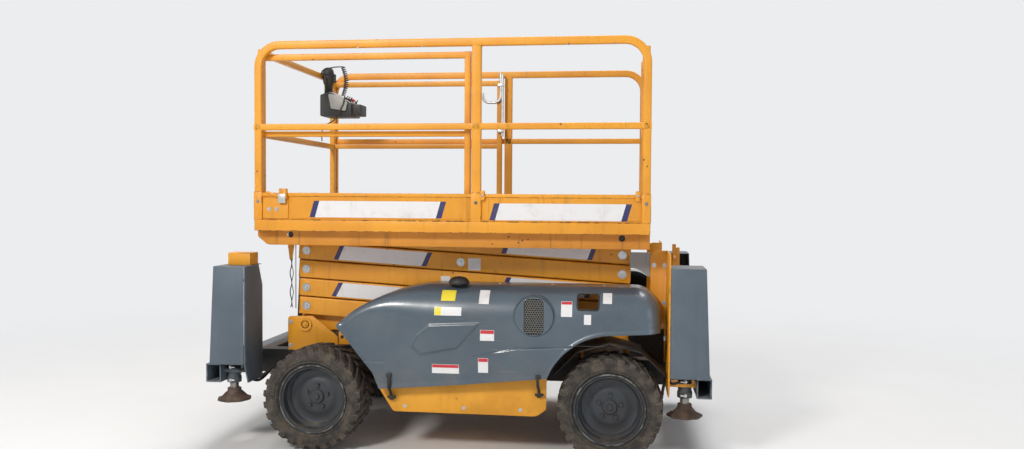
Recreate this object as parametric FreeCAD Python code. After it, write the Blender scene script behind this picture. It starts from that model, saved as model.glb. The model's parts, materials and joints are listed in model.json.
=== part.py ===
import FreeCAD, Part
import math
import os
from FreeCAD import Vector

# Rough-terrain scissor lift, stowed. Millimetres, +Z up, ground at z = 0, origin under the
# middle of the machine. The deck extension slides out towards -X, which is the steered end.
# Pieces that come in pairs are drawn on the far side, which is +Y, and mirrored to the near side.

# Driving sizes of the whole machine
overall_width = 1800
front_beam_face_x = -1605
rear_beam_face_x = 1605

# Wheels and axles
wheelbase = 1878
rear_axle_x = 994
front_axle_x = rear_axle_x - wheelbase
tyre_radius = 330
tyre_width = 305
tyre_outer_y = overall_width / 2
hub_z = tyre_radius
wheel_mid_y = tyre_outer_y - tyre_width / 2
rim_radius = 200
rim_lip_radius = 227
rim_wall = 10
rim_disc_y = wheel_mid_y + 31.5
rim_disc_thick = 16
hub_cap_radius = 46
hub_cap_length = 24
lug_count = 16
wheel_sides = 16
lug_height = 16
lug_width = 25
lug_skew = 58
axle_section = 100
hub_motor_radius = 85
mudguard_radius = tyre_radius + 70
mudguard_plate = 5
mudguard_front_angle = 150
mudguard_rear_angle = 32
mudguard_outer_y = tyre_outer_y - 50
mudguard_web_top_z = hub_z + mudguard_radius + 50
mudguard_web_angle = 74

# Steering
kingpin_y = wheel_mid_y - 137.5
axle_half_length = kingpin_y - 70
kingpin_radius = 18
kingpin_boss_radius = 38
yoke_gap = 140
yoke_plate = 15
steer_arm_length = 120
tie_rod_radius = 14

# Chassis frame
rail_inner_y = wheel_mid_y - 442.5
rail_width = 110
axle_pad_height = 20
rail_bottom_z = hub_z + axle_section / 2 + axle_pad_height
rail_height = 160
deck_plate = 8
end_beam_depth = 100
end_beam_height = 120
end_beam_bottom_z = rail_bottom_z + 13
end_beam_half_length = tyre_outer_y - 40
tube_wall = 8
tray_floor_z = 255
tray_plate = 8
tray_front_x = front_axle_x + tyre_radius + 90
tray_rear_x = rear_axle_x - tyre_radius - 61
tray_floor_front_x = tray_front_x + 104
tray_floor_rear_x = tray_rear_x - 83
tray_outer_y = tyre_outer_y - 100

# Scissor stack: five crossed pairs of arms each side
levels = 5
pin_left_x = -1081
pin_right_x = 1060
first_pin_z = 745
pin_rise = 125.8
arm_height = 118
arm_thick = 60
arm_overhang = 54
inner_arm_y = rail_inner_y + 16
arm_gap = 6
pin_radius = 29
pin_clearance = 0.4
pin_head_out = 6
cross_tube_radius = 34
cross_tube_share = 0.062
stroke_pin_share = 0.107
roller_radius = 30
roller_clearance = 0.5
roller_width = 34
track_plate = 8
track_front_x = -70
track_rear_x = pin_right_x + 60
bracket_plate = 12
bracket_front_x = pin_left_x - 125
bracket_rear_x = pin_left_x + 230

# Lift cylinder
cylinder_radius = 52
rod_radius = 34
cylinder_eye_radius = 48
cylinder_eye_width = 70
cylinder_neck_radius = 30
cylinder_neck_length = 100
cylinder_pin_radius = 22
lug_plate = 14
lug_gap = 3
lug_radius = 30
# the tube of the upper lugs stands off the arm's middle line, out of the rod's way
upper_tube_radius = 20
upper_tube_ahead = 96
upper_tube_off = 47

# Platform
platform_front_x = -1313
platform_rear_x = 1230
platform_half_width = 772
deck_edge_bottom_z = 1395
deck_edge_top_z = 1460
deck_sheet = 6
toe_board_top_z = 1641
skirt_y = platform_half_width - 70
skirt_bottom_z = 1300
top_rail_z = 2617
mid_rail_z = toe_board_top_z + (top_rail_z - toe_board_top_z) * 0.455
rail_depth = 50
rail_thick = 42
middle_post_x = 145
middle_post_width = 60
corner_radius = 165
extension_gap = 8
extension_rail_z = top_rail_z - 77
extension_rear_x = 100
gate_half_width = 330

# Jacks
front_jack_x = -1460
rear_jack_x = 1450
jack_y = tyre_outer_y - 145
jack_barrel_radius = 42
jack_rod_radius = 28
jack_rod_clearance = 0.5
jack_barrel_bottom_z = 400
jack_barrel_top_z = 1130
jack_rod_top_z = 1060
jack_foot_radius = 115
jack_foot_bottom_z = 280
cover_inner_y = tyre_outer_y - 288
cover_outer_y = tyre_outer_y
cover_wall = 4
cover_bottom_z = end_beam_bottom_z + end_beam_height + 5
# each cover leans: (bottom outer x, bottom inner x, top outer x, top inner x, top z)
front_cover = (-1562, -1352, -1534, -1333, 1168)
rear_cover = (1588, 1375, 1562, 1353, 1200)
# plates beside the jacks: (x of the face towards the wheels, top z, chamfer across, chamfer down)
front_mount = (-1333, 1168, 60, 140)
rear_mount = (1353, 1285, 0, 0)
rear_mount_side_x = 1240
rear_mount_inner_y = tyre_outer_y - 400

# Ladder, engine and tank
ladder_top_z = 1290
ladder_half_width = 240
ladder_stringer = (25, 40)
rung_z = (700, 950, 1200)
rung_radius = 12
# blocks on the trays: (front x, rear x, top z)
block_rear_x = tray_floor_rear_x - 50
engine_block = (-40, block_rear_x, 760)
tank_block = (-180, block_rear_x, 700)

# Hoods
seat_gap = 0.3
hood_inner_y = tyre_outer_y - 380
hood_top_z = 1065
hood_hinge_z = hood_top_z - 3
hinge_post_x = (-60, 520, 1070)
hinge_post_width = 40
hood_wall = 6
vent_x = 528
vent_z = 891
vent_radius = 122
vent_face_y = tyre_outer_y - 8
vent_half_width = 61
vent_half_height = 111
intake_x = 36
intake_y = tyre_outer_y - 152
intake_stub_radius = 34
intake_seat_z = hood_hinge_z

# Sizes worked out from the driving ones
rail_top_z = rail_bottom_z + rail_height
rail_outer_y = rail_inner_y + rail_width
deck_top_z = rail_top_z + deck_plate
span = pin_right_x - pin_left_x
inner_arm_out_y = inner_arm_y + arm_thick
outer_arm_y = inner_arm_out_y + arm_gap
outer_arm_out_y = outer_arm_y + arm_thick
pin_end_y = outer_arm_out_y + pin_head_out
bracket_y = pin_end_y + 6
bracket_out_y = bracket_y + bracket_plate
track_inner_y = bracket_y
track_outer_y = track_inner_y + roller_width + 16
track_half_gap = roller_radius + roller_clearance
floor_z = deck_edge_top_z + deck_sheet


def box(x0, x1, y0, y1, z0, z1):
    return Part.makeBox(x1 - x0, y1 - y0, z1 - z0, Vector(x0, y0, z0))


# Pins, tubes and bores repeat so often that they have flat sides, to keep the facets few.
# A bar's corners lie on its radius, and a bore's flats lie on its own, so a bar turns in a bore.
# A bore is half a side out of step with its bar, so that corners meet flats.

bar_sides = 8
round_step = math.radians(30)


def polygon_face(plane, a, b, radius, sides, shift=0.5):
    step = 2 * math.pi / sides
    angles = [step * (index + shift) for index in range(sides)]
    points = [plane(a + radius * math.cos(t), b + radius * math.sin(t)) for t in angles]
    return Part.Face(Part.makePolygon(points + points[:1]))


def bar_x(y, z, radius, x0, x1, sides=bar_sides):
    return extrude_x(polygon_face(in_yz, y, z, radius, sides), x0, x1)


def bar_y(x, z, radius, y0, y1, sides=bar_sides):
    return extrude_y(polygon_face(in_xz, x, z, radius, sides), y0, y1)


def bar_z(x, y, radius, z0, z1, sides=bar_sides):
    return extrude_z(polygon_face(in_xy, x, y, radius, sides), z0, z1)


def bore_face(plane, a, b, radius):
    corner_radius = radius / math.cos(math.pi / bar_sides)
    return polygon_face(plane, a, b, corner_radius, bar_sides, 0)


def bore_x(y, z, radius, x0, x1):
    return extrude_x(bore_face(in_yz, y, z, radius), x0, x1)


def bore_y(x, z, radius, y0, y1):
    return extrude_y(bore_face(in_xz, x, z, radius), y0, y1)


def bore_z(x, y, radius, z0, z1):
    return extrude_z(bore_face(in_xy, x, y, radius), z0, z1)


def in_xz(a, b):
    return Vector(a, 0, b)


def in_yz(a, b):
    return Vector(0, a, b)


def in_xy(a, b):
    return Vector(a, b, 0)


def outline_face(plane, start, moves):
    """A face bounded by lines, given as (a, b), and arcs, given as (via a, via b, a, b)."""
    outline = [plane(*start)]
    for move in moves:
        there = plane(*move[-2:])
        if len(move) == 4:
            arc = Part.Arc(outline[-1], plane(*move[:2]), there).toShape()
            flats = max(1, round(arc.Length / arc.Curve.Radius / round_step))
            outline += arc.discretize(flats + 1)[1:]
        else:
            outline.append(there)
    return Part.Face(Part.makePolygon(outline + outline[:1]))


def rounded_face(plane, corners):
    """A polygon whose corners, given as (a, b, radius), are rounded by short flats."""
    points = [plane(a, b) for a, b, _ in corners]
    outline = []
    for index, (_, _, radius) in enumerate(corners):
        point = points[index]
        if radius <= 0:
            outline.append(point)
            continue
        back = (points[index - 1] - point).normalize()
        ahead = (points[(index + 1) % len(points)] - point).normalize()
        turn = math.pi - back.getAngle(ahead)
        centre = point + (back + ahead).normalize() * (radius / math.cos(turn / 2))
        first = point + back * (radius * math.tan(turn / 2)) - centre
        last = point + ahead * (radius * math.tan(turn / 2)) - centre
        flats = max(1, round(turn / round_step))
        for step in range(flats + 1):
            done = turn * step / flats
            outline.append(centre + (first * math.sin(turn - done) + last * math.sin(done)) / math.sin(turn))
    return Part.Face(Part.makePolygon(outline + outline[:1]))


def extrude_y(face, y0, y1):
    face = face.copy()
    face.translate(Vector(0, y0, 0))
    return face.extrude(Vector(0, y1 - y0, 0))


def extrude_x(face, x0, x1):
    face = face.copy()
    face.translate(Vector(x0, 0, 0))
    return face.extrude(Vector(x1 - x0, 0, 0))


def extrude_z(face, z0, z1):
    face = face.copy()
    face.translate(Vector(0, 0, z0))
    return face.extrude(Vector(0, 0, z1 - z0))


def turned(plane, height, centre, profile, sides):
    """Turns a closed outline of (radius, height) points about an axis, with flat sides.

    plane places a point across the axis, and height lifts it along the axis.
    """
    step = 2 * math.pi / sides
    angles = [step * (index + 0.5) for index in range(sides)]
    rings = []
    for radius, along_axis in profile:
        ring = [
            plane(centre[0] + radius * math.cos(t), centre[1] + radius * math.sin(t)) + height(along_axis)
            for t in angles
        ]
        rings.append(ring)
    faces = []
    for index, ring in enumerate(rings):
        following = rings[(index + 1) % len(rings)]
        for side in range(sides):
            after = (side + 1) % sides
            points = []
            for point in (ring[side], ring[after], following[after], following[side]):
                if not points or ((point - points[-1]).Length > 1e-6 and (point - points[0]).Length > 1e-6):
                    points.append(point)
            if len(points) > 2:
                faces.append(Part.Face(Part.makePolygon(points + points[:1])))
    shell = Part.Shell(faces)
    shell.sewShape()
    solid = Part.Solid(shell.Shells[0])
    if solid.Volume < 0:
        solid.reverse()
    return solid.removeSplitter()


def turned_y(profile, x, z, sides):
    """Turned about the line through x, z along Y; the profile holds (radius, y) points."""
    return turned(in_xz, lambda y: Vector(0, y, 0), (x, z), profile, sides)


def turned_z(profile, x, y, sides):
    """Turned about the line through x, y along Z; the profile holds (radius, z) points."""
    return turned(in_xy, lambda z: Vector(0, 0, z), (x, y), profile, sides)


def fuse(shapes):
    shapes = list(shapes)
    joined = shapes[0].fuse(shapes[1:]) if len(shapes) > 1 else shapes[0]
    return joined.removeSplitter()


def mirrored(shape):
    return shape.mirror(Vector(0, 0, 0), Vector(0, 1, 0))


def both_sides(shape):
    """The far-side copy is the shape as drawn, with y positive, and the near one its mirror."""
    return Part.makeCompound([mirrored(shape), shape])


def export(node, shape):
    solids = shape.Solids
    shape = solids[0] if len(solids) == 1 else Part.makeCompound(solids)
    shape.exportStep("parts/" + node + ".step")


# Wheels

def rim(x):
    inner = wheel_mid_y - tyre_width / 2 + 30
    outer = wheel_mid_y + tyre_width / 2 - 20
    barrel = rim_radius - rim_wall
    disc_in = rim_disc_y - rim_disc_thick
    profile = [
        (0, disc_in),
        (barrel, disc_in),
        (barrel, inner),
        (rim_radius, inner),
        (rim_radius, outer - rim_wall),
        (rim_lip_radius, outer - rim_wall),
        (rim_lip_radius, outer),
        (barrel, rim_disc_y),
        (0, rim_disc_y),
    ]
    cap = bar_y(x, hub_z, hub_cap_radius, rim_disc_y, rim_disc_y + hub_cap_length)
    return turned_y(profile, x, hub_z, wheel_sides).fuse(cap).removeSplitter()


def tyre(x):
    half = tyre_width / 2
    bead = half - 20 - rim_wall - seat_gap
    base = tyre_radius - lug_height
    # half of the carcass section, as (radius, distance from the middle plane)
    section = [
        (rim_radius + seat_gap, bead),
        (rim_lip_radius + 1, bead),
        (base - 48, half),
        (base, half - 18),
    ]
    ring = [(r, wheel_mid_y + y) for r, y in section]
    ring += [(r, wheel_mid_y - y) for r, y in reversed(section)]
    carcass = turned_y(ring, x, hub_z, wheel_sides)
    # the top of a lug is flat, and its corners lie on the tyre's radius
    reach = lug_skew / 2 + lug_width / 2
    top = math.sqrt(tyre_radius**2 - reach**2)
    # side view of one lug as seen along the tread: (distance from the middle plane, radius)
    flank = [(8, base - 12), (8, top), (half - 20, top), (half - 1, base - 28)]
    lugs = []
    for side in (1, -1):
        foot = [
            (-reach, 0),
            (-reach + lug_width, 0),
            (reach + 2, side * half),
            (reach + 2 - lug_width * 1.2, side * half),
        ]
        points = [Vector(x + a, wheel_mid_y + b, hub_z - tyre_radius - 5) for a, b in foot]
        column = Part.Face(Part.makePolygon(points + points[:1])).extrude(Vector(0, 0, 80))
        corners = [(wheel_mid_y + side * y, hub_z - r, 0) for y, r in flank]
        block = column.common(extrude_x(rounded_face(in_yz, corners), x - 150, x + 150))
        first_turn = math.degrees(math.atan2(reach, top)) if side > 0 else 180 / lug_count
        for index in range(lug_count):
            lug = block.copy()
            lug.rotate(Vector(x, 0, hub_z), Vector(0, 1, 0), first_turn + 360 / lug_count * index)
            lugs.append(lug)
    return carcass.fuse(lugs).removeSplitter()


# Front axle, knuckles and tie rod

def axle_beam(x, half_length):
    half = axle_section / 2
    beam = box(x - half - 5, x + half + 5, -half_length, half_length, hub_z - half, hub_z + half)
    pads = [
        box(x - 45, x + 45, s * rail_inner_y, s * rail_inner_y + s * rail_width, hub_z + half, rail_bottom_z)
        if s > 0
        else box(x - 45, x + 45, -rail_outer_y, -rail_inner_y, hub_z + half, rail_bottom_z)
        for s in (1, -1)
    ]
    return [beam] + pads


def front_axle():
    yokes = []
    inner_y = axle_half_length - 10
    for side in (1, -1):
        gap = yoke_gap / 2
        web = box(-50, 50, inner_y, inner_y + 20, -gap - yoke_plate, gap + yoke_plate)
        upper = box(-50, 50, inner_y, kingpin_y + 30, gap, gap + yoke_plate)
        lower = box(-50, 50, inner_y, kingpin_y + 30, -gap - yoke_plate, -gap)
        yoke = web.fuse([upper, lower])
        hole = bore_z(0, kingpin_y, kingpin_radius + pin_clearance, -gap - 50, gap + 50)
        yoke = yoke.cut(hole)
        if side < 0:
            yoke = mirrored(yoke)
        yoke.translate(Vector(front_axle_x, 0, hub_z))
        yokes.append(yoke)
    return fuse(axle_beam(front_axle_x, axle_half_length) + yokes)


def rear_axle():
    beam = axle_beam(rear_axle_x, axle_half_length + 70)
    for side in (1, -1):
        motor = bar_y(
            rear_axle_x,
            hub_z,
            hub_motor_radius,
            axle_half_length + 60,
            rim_disc_y - rim_disc_thick - seat_gap,
        )
        beam.append(motor if side > 0 else mirrored(motor))
    return fuse(beam)


def knuckle():
    gap = yoke_gap / 2
    boss = bar_z(front_axle_x, kingpin_y, kingpin_boss_radius, hub_z - gap + 2, hub_z + gap - 2)
    pin = bar_z(front_axle_x, kingpin_y, kingpin_radius, hub_z - gap - 14, hub_z + gap + 14)
    neck = bar_y(front_axle_x, hub_z, 30, kingpin_y, kingpin_y + 70)
    motor = bar_y(
        front_axle_x,
        hub_z,
        hub_motor_radius,
        kingpin_y + 58,
        rim_disc_y - rim_disc_thick - seat_gap,
    )
    arm = box(
        front_axle_x + 20,
        front_axle_x + steer_arm_length + 18,
        kingpin_y - 20,
        kingpin_y + 20,
        hub_z - 30,
        hub_z - 10,
    )
    stud = bar_z(front_axle_x + steer_arm_length, kingpin_y, 9, hub_z - 10, hub_z + 30)
    return fuse([boss, pin, neck, motor, arm, stud])


def tie_rod():
    x = front_axle_x + steer_arm_length
    z = hub_z + 10
    rod = bar_y(x, z, tie_rod_radius, -kingpin_y, kingpin_y)
    eyes = [bar_z(x, s * kingpin_y, 22, z - 16, z + 16) for s in (1, -1)]
    holes = [bore_z(x, s * kingpin_y, 9 + pin_clearance, z - 40, z + 40) for s in (1, -1)]
    return fuse([rod] + eyes).cut(Part.makeCompound(holes))


# Chassis

def chassis_frame():
    front = front_beam_face_x + end_beam_depth
    rear = rear_beam_face_x - end_beam_depth + 10
    pieces = []
    for y0 in (-rail_outer_y, rail_inner_y):
        pieces.append(box(front, rear, y0, y0 + rail_width, rail_bottom_z, rail_top_z))
    # cross plates on top of the rails: (front x, rear x, half width)
    cross_plates = [
        (bracket_front_x, bracket_rear_x, bracket_out_y),
        (-500, -300, rail_outer_y),
        (track_front_x, 330, track_outer_y),
        (780, track_rear_x, track_outer_y),
        (1380, rear, rail_outer_y),
    ]
    for x0, x1, half in cross_plates:
        pieces.append(box(x0, x1, -half, half, rail_top_z, deck_top_z))
    # cross members between the rails: (x, half depth)
    for x, half in ((-1400, 40), (-640, 30), (120, 30), (1380, 40)):
        pieces.append(box(x - half, x + half, -rail_inner_y, rail_inner_y, rail_bottom_z + 20, rail_top_z))
    return fuse(pieces)


def scissor_bracket():
    corners = [
        (bracket_front_x, deck_top_z, 0),
        (bracket_front_x, first_pin_z + 54, 22),
        (pin_left_x + 53, first_pin_z + 58, 22),
        (bracket_rear_x, deck_top_z + 96, 12),
        (bracket_rear_x, deck_top_z, 0),
    ]
    plate = extrude_y(rounded_face(in_xz, corners), bracket_y, bracket_out_y)
    bore = bore_y(pin_left_x, first_pin_z, pin_radius + pin_clearance, bracket_y - 5, bracket_out_y + 5)
    flange = bar_y(pin_left_x, first_pin_z, pin_radius + 16, bracket_out_y, bracket_out_y + 8)
    rib = extrude_x(
        rounded_face(
            in_yz,
            [
                (bracket_y - 95, deck_top_z, 0),
                (bracket_y - 95, deck_top_z + 25, 0),
                (bracket_y, deck_top_z + 70, 0),
                (bracket_y, deck_top_z, 0),
            ],
        ),
        bracket_front_x + 10,
        bracket_front_x + 20,
    )
    return fuse([plate, flange, rib]).cut(bore)


def c_track(z, x0, x1):
    """A channel, open towards the arms, that a roller at height z runs in."""
    gap = track_half_gap
    web = box(x0, x1, track_outer_y - track_plate, track_outer_y, z - gap - track_plate, z + gap + track_plate)
    low = box(x0, x1, track_inner_y, track_outer_y, z - gap - track_plate, z - gap)
    high = box(x0, x1, track_inner_y, track_outer_y, z + gap, z + gap + track_plate)
    return fuse([web, low, high])


def chassis_track():
    track = c_track(first_pin_z, track_front_x, track_rear_x)
    bottom = first_pin_z - track_half_gap - track_plate
    post_x = (track_front_x + 4, 300, 800, track_rear_x - 16)
    posts = [box(x, x + 12, track_inner_y, track_outer_y, deck_top_z, bottom) for x in post_x]
    hinge_posts = [
        box(x, x + hinge_post_width, track_outer_y, hood_inner_y - seat_gap, deck_top_z, hood_hinge_z - 12)
        for x in hinge_post_x
    ]
    return fuse([track] + posts + hinge_posts)


def end_beam(x0, x1):
    z0 = end_beam_bottom_z
    z1 = z0 + end_beam_height
    outer = box(x0, x1, -end_beam_half_length, end_beam_half_length, z0, z1)
    hollow = box(
        x0 + tube_wall,
        x1 - tube_wall,
        -end_beam_half_length - 1,
        end_beam_half_length + 1,
        z0 + tube_wall,
        z1 - tube_wall,
    )
    return outer.cut(hollow)


def side_tray():
    """Yellow tray beside the rails, between the wheels, that carries what is under the hood."""
    skirt = extrude_y(
        rounded_face(
            in_xz,
            [
                (tray_front_x, tray_floor_z + 185, 0),
                (tray_front_x, tray_floor_z + 137, 0),
                (tray_front_x + 88, tray_floor_z, 30),
                (tray_rear_x - 63, tray_floor_z, 40),
                (tray_rear_x - 3, tray_floor_z + 45, 20),
                (tray_rear_x, tray_floor_z + 275, 0),
            ],
        ),
        tray_outer_y - tray_plate,
        tray_outer_y,
    )
    inner_y = rail_outer_y
    outer_y = tray_outer_y - tray_plate
    x0 = tray_floor_front_x
    x1 = tray_floor_rear_x
    floor = box(x0, x1, inner_y, outer_y, tray_floor_z, tray_floor_z + tray_plate)
    back = box(x0, x1, inner_y, inner_y + tray_plate, tray_floor_z, rail_top_z)
    ends = [box(x, x + tray_plate, inner_y, outer_y, tray_floor_z, tray_floor_z + 175) for x in (x0, x1 - tray_plate)]
    return fuse([skirt, floor, back] + ends)


def mudguard():
    """Curved guard over the rear wheel with an inner side, seated on the hood's hinge post."""
    outer = (mudguard_radius, mudguard_front_angle)
    inner = (mudguard_radius - mudguard_plate, mudguard_rear_angle)

    def at(radius, angle):
        turn = math.radians(angle)
        return rear_axle_x + radius * math.cos(turn), hub_z + radius * math.sin(turn)

    face = outline_face(
        in_xz,
        at(*outer),
        [
            at(outer[0], 90) + at(outer[0], inner[1]),
            at(*inner),
            at(inner[0], 90) + at(inner[0], outer[1]),
        ],
    )
    guard = extrude_y(face, hood_inner_y, mudguard_outer_y)
    top_x, low_z = at(*inner)
    web = outline_face(
        in_xz,
        at(inner[0], mudguard_web_angle),
        [
            at(inner[0], (mudguard_web_angle + inner[1]) / 2) + (top_x, low_z),
            (top_x, mudguard_web_top_z),
            (at(inner[0], mudguard_web_angle)[0], mudguard_web_top_z),
        ],
    )
    return fuse([guard, extrude_y(web, hood_inner_y, hood_inner_y + mudguard_plate)])


# Jacks

def jack_barrel(x):
    barrel = bar_z(x, jack_y, jack_barrel_radius, jack_barrel_bottom_z, jack_barrel_top_z)
    bore = bore_z(x, jack_y, jack_rod_radius + jack_rod_clearance, jack_barrel_bottom_z - 1, jack_rod_top_z + 10)
    return barrel.cut(bore)


def jack_leg(x, side):
    y = side * jack_y
    z = jack_foot_bottom_z
    profile = [
        (0, z),
        (jack_foot_radius, z),
        (jack_foot_radius, z + 12),
        (jack_rod_radius + 14, z + 60),
        (jack_rod_radius + 14, z + 80),
        (jack_rod_radius, z + 80),
        (jack_rod_radius, jack_rod_top_z),
        (0, jack_rod_top_z),
    ]
    return turned_z(profile, x, y, bar_sides)


def jack_cover(table):
    bottom_out, bottom_in, top_out, top_in, z1 = table
    z0 = cover_bottom_z
    wall = math.copysign(cover_wall, top_out)
    outer = outline_face(in_xz, (bottom_out, z0), [(top_out, z1), (top_in, z1), (bottom_in, z0)])
    lean = (top_out - bottom_out) / (z1 - z0)
    inner = outline_face(
        in_xz,
        (bottom_out - wall - lean * 10, z0 - 10),
        [
            (top_out - wall, z1 - cover_wall),
            (top_in - wall, z1 - cover_wall),
            (bottom_in - wall - lean * 10, z0 - 10),
        ],
    )
    shell = extrude_y(outer, cover_inner_y, cover_outer_y)
    inside_face = extrude_y(inner, cover_inner_y - 10, cover_outer_y - cover_wall)
    return shell.cut(inside_face)


def jack_mount(table, beam_x, barrel_x):
    """Plate on the machine's side of a jack, with shelves out to its barrel and the beam."""
    side_x, top_z, across, down = table
    away = math.copysign(10, side_x)
    inner_y = cover_inner_y + 8
    corners = [
        (inner_y, end_beam_bottom_z, 0),
        (inner_y, top_z - down, 0),
        (inner_y + across, top_z, 0),
        (cover_outer_y - 6, top_z, 0),
        (cover_outer_y - 6, cover_bottom_z, 0),
        (cover_outer_y - 60, end_beam_bottom_z, 0),
    ]
    if not across:
        corners.pop(1)
    plate = extrude_x(rounded_face(in_yz, corners), min(side_x, side_x - away), max(side_x, side_x - away))
    pieces = [plate]
    x0 = min(side_x, barrel_x)
    x1 = max(side_x, barrel_x)
    for z in (620, 1060):
        pieces.append(box(x0, x1, jack_y - 40, jack_y + 40, z, z + 14))
    z0 = end_beam_bottom_z + 60
    pieces.append(box(min(side_x, beam_x), max(side_x, beam_x), jack_y - 60, jack_y + 60, z0, z0 + 20))
    return fuse(pieces).cut(bore_z(barrel_x, jack_y, jack_barrel_radius + 0.2, 300, 1300))


def rear_jack_mount():
    """The rear mount goes on inwards, and turns forward there into a side plate of a tall column."""
    x1, top_z, _, _ = rear_mount
    mount = jack_mount(rear_mount, rear_beam_face_x - end_beam_depth + 10, rear_jack_x)
    back = box(x1 - 10, x1, rear_mount_inner_y, cover_inner_y + 9, end_beam_bottom_z, top_z)
    x0 = rear_mount_side_x
    corners = [(x0, deck_top_z, 0), (x0, top_z, 45), (x1, top_z, 0), (x1, deck_top_z, 0)]
    side = extrude_y(rounded_face(in_xz, corners), rear_mount_inner_y, rear_mount_inner_y + 10)
    return fuse([mount, back, side])


def front_jack_cap():
    """Yellow block that sits on the front jack's cover."""
    top_z = front_cover[-1] + seat_gap
    return box(front_jack_x - 30, front_mount[0] - 2, jack_y - 95, jack_y + 25, top_z, top_z + 80)


# Engine, tank and ladder

def rear_ladder():
    x0 = rear_beam_face_x - end_beam_depth - 90
    depth, width = ladder_stringer
    inner_y = ladder_half_width - width
    stringers = [box(x0, x0 + depth, y, y + width, deck_top_z, ladder_top_z) for y in (-ladder_half_width, inner_y)]
    rungs = [bar_y(x0 + depth / 2, z, rung_radius, -inner_y - 1, inner_y + 1) for z in rung_z]
    return fuse(stringers + rungs)


def tray_block(table):
    x0, x1, top_z = table
    return box(x0, x1, hood_inner_y + 12, tray_outer_y - 30, tray_floor_z + tray_plate, top_z)


# Scissor arms

def stack_pin(side, level):
    """Place of the pins at one end of the stack: side 0 left, 1 right; level counts from 0."""
    return (pin_left_x, pin_right_x)[side], first_pin_z + level * pin_rise


def arm_bar(start, end, y0, y1):
    angle = math.degrees(math.atan2(end[1] - start[1], end[0] - start[0]))
    length = math.hypot(end[0] - start[0], end[1] - start[1])
    bar = box(-arm_overhang, length + arm_overhang, y0, y1, -arm_height / 2, arm_height / 2)
    bar.rotate(Vector(0, 0, 0), Vector(0, 1, 0), -angle)
    bar.translate(Vector(start[0], 0, start[1]))
    return bar


def along(start, end, share, off=0):
    """A point at a share of the way from start to end, lifted off the line by a distance."""
    dx = end[0] - start[0]
    dz = end[1] - start[1]
    length = math.hypot(dx, dz)
    return (
        start[0] + share * dx - off * dz / length,
        start[1] + share * dz + off * dx / length,
    )


def roller(x, z):
    """Runs in a track, and has a corner up and a corner down at rest."""
    y0 = track_inner_y + 3
    return extrude_y(polygon_face(in_xz, x, z, roller_radius, 12, 0), y0, y0 + roller_width)


def inner_arms(level):
    start = stack_pin(0, level)
    end = stack_pin(1, level + 1)
    middle = along(start, end, 0.5)
    half = [arm_bar(start, end, inner_arm_y, inner_arm_out_y)]
    first_out = bracket_out_y + 3 if level == 0 else pin_end_y
    half.append(bar_y(*start, pin_radius, inner_arm_out_y, first_out))
    half.append(bar_y(*middle, pin_radius, inner_arm_out_y, pin_end_y))
    if level == levels - 1:
        half.append(bar_y(*end, pin_radius - 8, inner_arm_out_y, track_inner_y + 4))
        half.append(roller(*end))
    else:
        half.append(bar_y(*end, pin_radius, inner_arm_out_y, pin_end_y))
    shares = [cross_tube_share, 1 - cross_tube_share]
    lugs = []
    if level == 0:
        lugs = lower_lugs(start, end)
    if level == 2:
        shares = shares[1:]
        lugs = upper_lugs(start, end)
    tubes = [bar_y(*along(start, end, t), cross_tube_radius, -inner_arm_y, inner_arm_y) for t in shares]
    return fuse(half + [mirrored(piece) for piece in half] + tubes + lugs)


lug_inner_y = cylinder_eye_width / 2 + lug_gap
lug_outer_y = lug_inner_y + lug_plate


def lower_lugs(start, end):
    """Plates from the first arms' upper cross tube to the pin of the barrel's eye."""
    tube = along(start, end, 1 - cross_tube_share)
    pin = along(start, end, 1 - stroke_pin_share)
    lugs = [bar_y(*pin, cylinder_pin_radius, -lug_outer_y, lug_outer_y)]
    for y0 in (-lug_outer_y, lug_inner_y):
        lugs.append(box(pin[0], tube[0], y0, y0 + lug_plate, pin[1] - lug_radius, pin[1] + lug_radius))
        lugs.append(bar_y(*pin, lug_radius, y0, y0 + lug_plate))
    return lugs


def upper_lugs(start, end):
    """Tube and bored plates of the third arms, which the rod's eye stands between.

    The eye drifts from its bores between the ends of the lift, so the plates carry no pin.
    """
    length = math.hypot(end[0] - start[0], end[1] - start[1])

    def at(ahead, off):
        return along(start, end, stroke_pin_share + ahead / length, off)

    reach = upper_tube_ahead + upper_tube_radius
    top = upper_tube_off + upper_tube_radius
    outline = [(-lug_radius, -lug_radius), (lug_radius, -lug_radius), (reach, top - 40), (reach, top)]
    outline += [(reach - 40, top), (-lug_radius, lug_radius)]
    face = rounded_face(in_xz, [at(*corner) + (0,) for corner in outline])
    bore = bore_y(*at(0, 0), cylinder_pin_radius + pin_clearance, -lug_outer_y - 5, lug_outer_y + 5)
    plates = [extrude_y(face, y0, y0 + lug_plate).cut(bore) for y0 in (-lug_outer_y, lug_inner_y)]
    tube = bar_y(*at(upper_tube_ahead, upper_tube_off), upper_tube_radius, -inner_arm_y, inner_arm_y)
    return plates + [tube]


def outer_arms(level):
    start = stack_pin(1, level)
    end = stack_pin(0, level + 1)
    middle = along(start, end, 0.5)
    bar = arm_bar(start, end, outer_arm_y, outer_arm_out_y)
    bore = pin_radius + pin_clearance
    holes = [middle]
    stubs = []
    if level == 0:
        stubs.append(bar_y(*start, pin_radius - 8, outer_arm_out_y, track_inner_y + 4))
        stubs.append(roller(*start))
    else:
        holes.append(start)
    if level == levels - 1:
        stubs.append(bar_y(*end, pin_radius, outer_arm_out_y, bracket_out_y + 3))
    else:
        holes.append(end)
    bar = bar.cut([bore_y(*hole, bore, outer_arm_y - 5, outer_arm_out_y + 5) for hole in holes])
    arm = fuse([bar] + stubs) if stubs else bar
    return both_sides(arm)


# Lift cylinder: from the right of the first inner pair to the left of the third

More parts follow.
